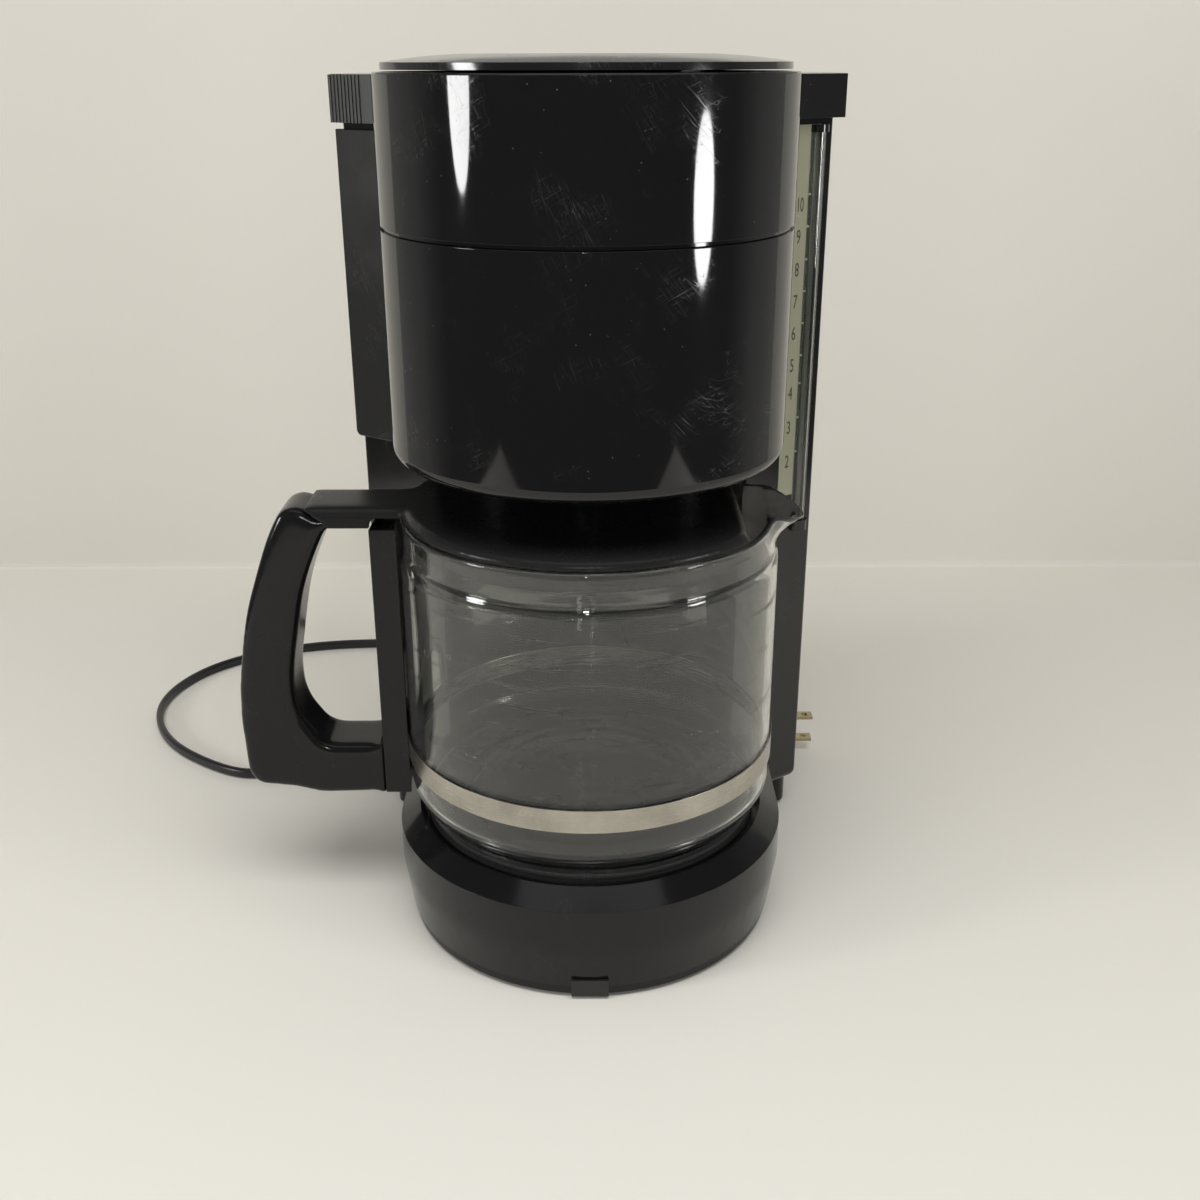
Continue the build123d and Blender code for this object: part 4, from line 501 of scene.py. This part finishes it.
# ---- warming plate and boiler -------------------------------------------
# Pressed steel plate with a baked dark coating, on a black rubber seal. Under it
# an aluminium boiler with its heater, thermostat and fuse.
finish(plastic("plate_coating", (0.012, 0.012, 0.013), 0.26, 0.3, 0.0007, 0.2, 1.0),
       "warming_plate")
finish(foot_rubber, "plate_seal")
finish(metal("bare_aluminium", (0.72, 0.72, 0.73), 0.32, 0.48, 0.2), "heater_rod", "boiler_tube")
finish(zinc, "heater_clamp", "clamp_screws", "thermal_fuse")
finish(plastic("phenolic", (0.10, 0.055, 0.035), 0.4, 0.1, 0.001, 0.1, 0.2), "thermostat")

# ---- hoses, riser and tank ----------------------------------------------
# Translucent silicone hoses with spring clips carry the water from the tank down
# to the boiler and up the riser to the spray arm over the filter.
finish(plastic("silicone", (0.55, 0.55, 0.52), 0.45, 0.05, 0.001, 0.1, 0.1),
       "inlet_hose", "outlet_hose", "check_valve", "riser_seal", "valve_seal")
finish(plastic("natural_plastic", (0.72, 0.72, 0.69), 0.4, 0.05, 0.001, 0.1, 0.2),
       "riser_tube", "water_tank")
finish(zinc, "hose_clips", "swing_pin", "cover_pins", "valve_spring")
inner_black = plastic("inner_black", (0.010, 0.010, 0.010), 0.30, 0.08, 0.0008, 0.12, 0.4)
finish(inner_black, "water_arm", "spray_plate", "filter_cone", "drip_valve")

# ---- tower --------------------------------------------------------------
# Glossy black housing round tank and risers, its front faces slanted, hollowed
# out for drum and jug. A flat panel held by screws closes the back.
tower_gloss = plastic("tower_gloss", (0.008, 0.008, 0.0080), 0.11, 0.003, 0.002, 0.08, 0.6)
finish(tower_gloss, "tower_shell", "tower_back", "gauge_plugs")
finish(zinc, "back_screws")

# ---- water gauge --------------------------------------------------------
# A clear tube in a slot of the right slanted face, beside a pale strip that
# carries the printed cup numbers, two to ten.
SLANT = radians(35)
face_u = Vector((cos(SLANT), sin(SLANT), 0))
face_out = Vector((sin(SLANT), -cos(SLANT), 0))
tube_low, tube_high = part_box("gauge_tube")
scale_low, scale_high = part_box("gauge_scale")
strip_front = max((v.co.dot(face_out) for v in node["gauge_scale"].data.vertices))
strip_us = [v.co.dot(face_u) for v in node["gauge_scale"].data.vertices]
NUMBER_Z = {10: 0.2899, 9: 0.2773, 8: 0.2641, 7: 0.2511, 6: 0.2379, 5: 0.2244, 4: 0.2124,
            3: 0.1975, 2: 0.1824}
DIGIT = 0.0080
DIGIT_BELOW = 0.0042        # a number's middle stands this far below its tick
DIGIT_WIDE, TEN_WIDE = 0.62, 0.50
INK_THICK = 0.00004


def on_face(u, out, z):
    return face_u * u + face_out * out + Vector((0, 0, z))


def printed(name, words, size, thick, matrix):
    """Printed figures as thin raised ink, made a mesh before they are set in place."""
    bpy.ops.object.select_all(action="DESELECT")
    bpy.ops.object.text_add()
    label = bpy.context.object
    label.name = name
    label.data.body = words
    label.data.size = size
    label.data.align_x = "CENTER"
    label.data.align_y = "CENTER"
    label.data.extrude = thick
    label.data.resolution_u = 3
    bpy.ops.object.convert(target="MESH")
    label.data.transform(matrix)
    return label


def joined(name, pieces):
    """Several like pieces as one."""
    bpy.ops.object.select_all(action="DESELECT")
    for piece in pieces:
        piece.select_set(True)
    bpy.context.view_layer.objects.active = pieces[0]
    bpy.ops.object.join()
    pieces[0].name = name
    return pieces[0]


def bar(name, centre, along, up, length, height, depth):
    """A small flat bar, its long edges rounded."""
    bpy.ops.object.select_all(action="DESELECT")
    bpy.ops.mesh.primitive_cube_add(size=1, location=(0, 0, 0))
    piece = bpy.context.object
    piece.name = name
    bpy.ops.object.mode_set(mode="EDIT")
    bpy.ops.transform.resize(value=(length, height, depth), center_override=(0, 0, 0))
    bpy.ops.mesh.bevel(offset=min(height, depth) * 0.2, segments=2)
    bpy.ops.object.mode_set(mode="OBJECT")
    out = along.cross(up)
    turned = Matrix((along, up, out)).transposed().to_4x4()
    piece.data.transform(Matrix.Translation(centre) @ turned)
    return piece


UP = Vector((0, 0, 1))
face_turn = Matrix((face_u, UP, face_out)).transposed().to_4x4()
strip_middle_u = (min(strip_us) + max(strip_us)) / 2
numbers = []
for cups, height in NUMBER_Z.items():
    spot = on_face(strip_middle_u + 0.0002, strip_front + INK_THICK, height - DIGIT_BELOW)
    narrow = Matrix.Diagonal((TEN_WIDE if cups == 10 else DIGIT_WIDE, 1, 1, 1))
    numbers.append(printed("number_%d" % cups, str(cups), DIGIT, INK_THICK,
                           Matrix.Translation(spot) @ face_turn @ narrow))
numbers = joined("gauge_numbers", numbers)
ink = plastic("dark_ink", (0.012, 0.012, 0.012), 0.4, 0.1, 0.0005, 0.1)
numbers.data.materials.append(ink)
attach(numbers, "machine")

strip_pale = plastic("strip_pale", (0.27, 0.27, 0.19), 0.16, 0.05, 0.001, 0.12, 0.4)
finish(strip_pale, "gauge_scale")
gap_u = max(strip_us) + 0.0008
ticks = [bar("tick_%d" % cups, on_face(gap_u, strip_front + 0.0001, height), face_u, UP,
             0.0018, 0.0008, 0.0002) for cups, height in NUMBER_Z.items()]
ticks = joined("gauge_ticks", ticks)
ticks.data.materials.append(strip_pale)
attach(ticks, "machine")


def clear_glass(name, tint, waves, rings=0.0, through=1.0):
    """Clear glass or plastic: faintly wavy, filmed by use, fine rings blown into it."""
    material = bpy.data.materials.new(name)
    material.use_nodes = True
    tree = material.node_tree
    surface = tree.nodes["Principled BSDF"]
    surface.inputs["Base Color"].default_value = (*tint, 1)
    surface.inputs["Metallic"].default_value = 0.0
    surface.inputs["IOR"].default_value = 1.47
    surface.inputs["Transmission Weight"].default_value = through
    place = tree.nodes.new("ShaderNodeTexCoord").outputs["Object"]
    film = ramp(tree, noise(tree, place, 30.0, 3.0, 0.6), 0.55, 0.8, 0.0, 0.012)
    ring = ramp(tree, noise(tree, place, 1.0, 2.0, 0.6, (16, 16, 900)), 0.66, 0.71)
    ringed = combined(tree, "MULTIPLY", ring, rings)
    tree.links.new(combined(tree, "MAXIMUM", film, combined(tree, "MULTIPLY", ringed, 0.14)),
                   surface.inputs["Roughness"])
    height = combined(tree, "MULTIPLY", noise(tree, place, 38.0, 1.0), waves)
    bump = tree.nodes.new("ShaderNodeBump")
    bump.inputs["Strength"].default_value = 1.0
    bump.inputs["Distance"].default_value = 0.0005
    tree.links.new(combined(tree, "ADD", height, combined(tree, "MULTIPLY", ringed, 0.10)),
                   bump.inputs["Height"])
    tree.links.new(bump.outputs["Normal"], surface.inputs["Normal"])
    return material


# The tube's glass is tinted grey: painted shade, so the tube reads dark like the black slot seen
# through it, while its highlights stay bright.
finish(clear_glass("tube_glass_painted_dark", (0.52, 0.54, 0.50), 0.05), "gauge_tube")

# ---- switch -------------------------------------------------------------
# Upright rocker in pale grey plastic, pillow shaped, in a black bezel on the left
# slanted face. A small plain ring, for off, is printed beside its upper end.
rocker_pale = plastic("rocker_pale", (0.36, 0.38, 0.33), 0.16, 0.02, 0.001, 0.08, 0.2)
rocker = softened("switch_key", "switch_rocker", 0.0011, lambda p: True, 4)
placed(rocker, "rocker", "switch_rocker", rocker_pale)
finish(tower_gloss, "switch_bezel")
left_u = Vector((cos(SLANT), -sin(SLANT), 0))
left_out = Vector((-sin(SLANT), -cos(SLANT), 0))
rocker_low, rocker_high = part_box("switch_rocker")
rocker_middle = (rocker_low + rocker_high) / 2
BEZEL_RISE = 0.00095
RING_ASIDE, RING_ABOVE = 0.0092, 0.0110
tower_face = max(v.co.dot(left_out) for v in node["switch_bezel"].data.vertices) - BEZEL_RISE
ring_place = left_out * (tower_face + 0.00005) \
    + left_u * (rocker_middle.dot(left_u) + RING_ASIDE) + UP * (rocker_middle.z + RING_ABOVE)
bpy.ops.object.select_all(action="DESELECT")
bpy.ops.mesh.primitive_torus_add(major_radius=0.00115, minor_radius=0.00022, major_segments=32,
                                 minor_segments=8, location=(0, 0, 0))
off_ring = bpy.context.object
off_ring.name = "off_ring"
bpy.ops.object.mode_set(mode="EDIT")
bpy.ops.transform.resize(value=(1, 1, 0.25), center_override=(0, 0, 0))
bpy.ops.object.mode_set(mode="OBJECT")
off_ring.data.transform(Matrix.Translation(ring_place)
                        @ Matrix((left_u, UP, left_out)).transposed().to_4x4())
off_ring.data.materials.append(rocker_pale)
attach(off_ring, "machine")

# ---- top cover ----------------------------------------------------------
# Thin glossy lid hinged at the back: a round low dome over the filter, a flat
# shelf over the tank and a block that hangs down over the gauge's top.
cover_gloss = plastic("cover_gloss", (0.011, 0.011, 0.0115), 0.10, 0.02, 0.003, 0.06, 0.7)
cover = softened("hinged_cover", "top_cover", 0.0005, lambda p: True)
placed(cover, "cover", "top_cover", cover_gloss)

# ---- swinging drum ------------------------------------------------------
# Round filter drum in high-gloss black with a seam between its lower shell and
# its collar, and a wing with a ribbed finger grip on the left for swinging it out.
drum_gloss = plastic("drum_gloss", (0.0060, 0.0058, 0.0062), 0.045, 0.008, 0.004, 0.03, 1.0,
                     0.43)
drum = softened("drum_lower_shell", "drum_body", 0.0005, lambda p: p.z > 0.270)
placed(drum, "drum", "drum_body", drum_gloss)
collar = softened("drum_upper_collar", "drum_collar", 0.0005, lambda p: True)
placed(collar, "drum", "drum_collar", drum_gloss)
wing = softened("drum_wing", "wing_panel", 0.0005, lambda p: True)
wing_satin = plastic("wing_satin", (0.019, 0.019, 0.018), 0.20, 0.03, 0.001, 0.08, 0.6)
placed(wing, "drum", "wing_panel", wing_satin)
grip_black = plastic("grip_black", (0.045, 0.045, 0.042), 0.28, 0.05, 0.001, 0.1, 0.5)
pull = softened("ribbed_pull", "pull_grip", 0.00018, lambda p: True, 2)
placed(pull, "drum", "pull_grip", grip_black)

# ---- glass of the jug ---------------------------------------------------
# Clear blown glass, a little over 2 mm thick, upright in the wall, with a round heel,
# a faintly rippled floor and a small step in to the neck. The spout is drawn out of
# the raised rim.
HEEL = 0.0120
GLASS = 0.0022
JUG_FLOOR = 0.0533
WALL_R = 0.0752
NECK_R = 0.0740
RIM_Z = 0.1760


def arc(centre_z, centre_r, radius, start, end, count):
    """Rings on part of a circle, as (height, radius); angles in degrees."""
    return [(centre_z + radius * sin(radians(start + (end - start) * k / count)),
             centre_r + radius * cos(radians(start + (end - start) * k / count)))
            for k in range(count + 1)]


wall = [(0.080, 0.0), (0.097, 0.0), (0.119, 0.0), (0.141, 0.0), (0.1585, -0.00005),
        (0.1600, -0.00013), (0.1612, -0.00030), (0.1619, -0.00058), (0.1626, -0.00090),
        (0.1634, -0.00112), (0.165, -0.00118), (0.167, -0.0012), (0.169, -0.0012),
        (0.1705, -0.0012), (0.172, -0.0012), (0.1735, -0.0012)]
rings = [(JUG_FLOOR + 0.0018, 0.0008), (JUG_FLOOR + 0.0016, 0.030), (JUG_FLOOR + 0.0006, 0.052)]
rings += arc(JUG_FLOOR + HEEL, WALL_R - HEEL, HEEL, -90, 0, 14)
rings += [(z, WALL_R + change) for z, change in wall]
rings += arc(RIM_Z - GLASS / 2, NECK_R - GLASS / 2, GLASS / 2, 0, 180, 8)
rings += [(z, WALL_R - GLASS + change) for z, change in reversed(wall)]
rings += arc(JUG_FLOOR + HEEL + 0.0004, WALL_R - HEEL, HEEL - GLASS, 0, -90, 12)
RIPPLE = 0.00016
inner_floor = JUG_FLOOR + GLASS + 0.0006
for k in range(30):
    out = 1 - (k + 1) / 31
    ripple = RIPPLE * sin(k * 2 * pi / 5.0) * (0.3 + out)
    rings.append((inner_floor + 0.0022 * (1 - out ** 2) + ripple, 0.0008 + (0.060 * out)))
jug = drawn_out("jug_glass", "Z", from_drum(0, 0, 0), rings, 180)

SPOUT_WAY = radians(-4)
BEAK_HALF = radians(17)
CHEEK_HALF = radians(33)
SPOUT_OUT = 0.0102
CHEEK_LIFT = 0.0050
BEAK_DROP = 0.0052
SPOUT_FOOT = 0.158          # the glass starts to rise here
FLARE_FOOT = 0.1665         # and to lean out here
for v in jug.data.vertices:
    from_axle = v.co - AXLE
    reach = from_axle.xy.length
    turn = atan2(from_axle.y, from_axle.x) - SPOUT_WAY
    if reach < 0.06 or abs(turn) > CHEEK_HALF or v.co.z < SPOUT_FOOT:
        continue
    rise = min(1.0, (v.co.z - SPOUT_FOOT) / (RIM_Z - SPOUT_FOOT))
    flare = max(0.0, min(1.0, (v.co.z - FLARE_FOOT) / (RIM_Z - FLARE_FOOT))) ** 1.7
    beak = cos(min(abs(turn) / BEAK_HALF, 1.0) * pi / 2) ** 1.4
    cheek = 0.5 + 0.5 * cos(pi * max(0.0, abs(turn) / CHEEK_HALF - 0.35) / 0.65)
    out = SPOUT_OUT * beak * flare + 0.0012 * cheek * flare
    v.co.x += out * from_axle.x / reach
    v.co.y += out * from_axle.y / reach
    v.co.z += (CHEEK_LIFT * cheek - BEAK_DROP * beak) * rise ** 2
bpy.ops.object.select_all(action="DESELECT")
jug.select_set(True)
bpy.context.view_layer.objects.active = jug
bpy.ops.object.shade_smooth_by_angle(angle=radians(60))
placed(jug, "jug", "glass_jug",
       clear_glass("jug_clear", (0.975, 0.985, 0.955), 0.05, 1.0, 0.992))

# ---- jug's band, handle and lid -----------------------------------------
# A strip of stainless steel clamps the moulded handle to the glass. The lid snaps
# into the rim; its arm runs back over the handle's top, and its disc stops short
# of the spout. Handle and lid are thick mouldings, well rounded by the mould.
band = softened("clamp_band", "steel_band", 0.00018, lambda p: True, 2)
placed(band, "jug", "steel_band",
       metal("band_steel", (0.50, 0.47, 0.41), 0.20, 0.36, 0.35, (40, 40, 2200), 0.72))
finish(zinc, "band_screw")
handle_gloss = plastic("handle_gloss", (0.0080, 0.0078, 0.0080), 0.12, 0.02, 0.002, 0.08,
                       0.6, 0.28)
post = softened("handle_post_moulding", "handle_post", 0.0010, lambda p: p.x < -0.0775)
placed(post, "jug", "handle_post", handle_gloss)


def worn_round(name, source, voxel, passes, free):
    """A copy of a thick moulding, remeshed finely and smoothed, except where it mates."""
    piece = bpy.data.objects.new(name, node[source].data.copy())
    bpy.context.collection.objects.link(piece)
    piece.data.materials.clear()
    bpy.ops.object.select_all(action="DESELECT")
    bpy.context.view_layer.objects.active = piece
    piece.select_set(True)
    bpy.ops.mesh.customdata_custom_splitnormals_clear()
    bpy.ops.object.mode_set(mode="EDIT")
    bpy.ops.mesh.select_all(action="SELECT")
    bpy.ops.mesh.remove_doubles(threshold=1e-6)
    bpy.ops.object.mode_set(mode="OBJECT")
    fine = piece.modifiers.new("fine", "REMESH")
    fine.mode = "VOXEL"
    fine.voxel_size = voxel
    bpy.ops.object.modifier_apply(modifier="fine")
    loose = piece.vertex_groups.new(name="loose")
    for v in piece.data.vertices:
        loose.add([v.index], free(v.co - AXLE), "REPLACE")
    smooth = piece.modifiers.new("smooth", "SMOOTH")
    smooth.factor = 0.5
    smooth.iterations = passes
    smooth.vertex_group = "loose"
    bpy.ops.object.modifier_apply(modifier="smooth")
    piece.vertex_groups.clear()
    bpy.ops.object.shade_smooth()
    return piece


grip = worn_round("handle_grip_moulding", "handle_grip", 0.0009, 60,
                  lambda p: max(0.0, min(1.0, (-0.0875 - p.x) / 0.004)))
placed(grip, "jug", "handle_grip", handle_gloss)
lid_gloss = plastic("lid_gloss", (0.014, 0.014, 0.014), 0.26, 0.02, 0.002, 0.08, 0.6, 0.16)
lid = worn_round("jug_lid_moulding", "jug_lid", 0.0010, 70,
                 lambda p: max(0.0, min(1.0, (p.z - 0.1768) / 0.003)))
placed(lid, "jug", "jug_lid", lid_gloss)

# ---- cup marks on the jug -----------------------------------------------
# Pale figures and dashes printed on the outside of the glass at the back, so
# that from the front they are read through the jug, the wrong way round.
pale_ink = plastic("pale_ink", (0.92, 0.92, 0.90), 0.4, 0.1, 0.0005, 0.1)
MARK_SIZE = 0.0060
marks = []
for figure, height in (("3", 0.0933), ("4", 0.1005), ("5", 0.1077), ("6", 0.1149)):
    for turn, words in ((94.0, figure), (89.0, "-")):
        way_out = Vector((cos(radians(turn)), sin(radians(turn)), 0))
        across = UP.cross(way_out)
        set_in = Matrix((across, UP, way_out)).transposed().to_4x4()
        spot = AXLE + way_out * (WALL_R + 0.00006) + UP * height
        marks.append(printed("mark_%s_%d" % (figure, turn), words, MARK_SIZE, INK_THICK,
                             Matrix.Translation(spot) @ set_in))
marks = joined("jug_cup_marks", marks)
marks.data.materials.append(pale_ink)
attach(marks, "jug")
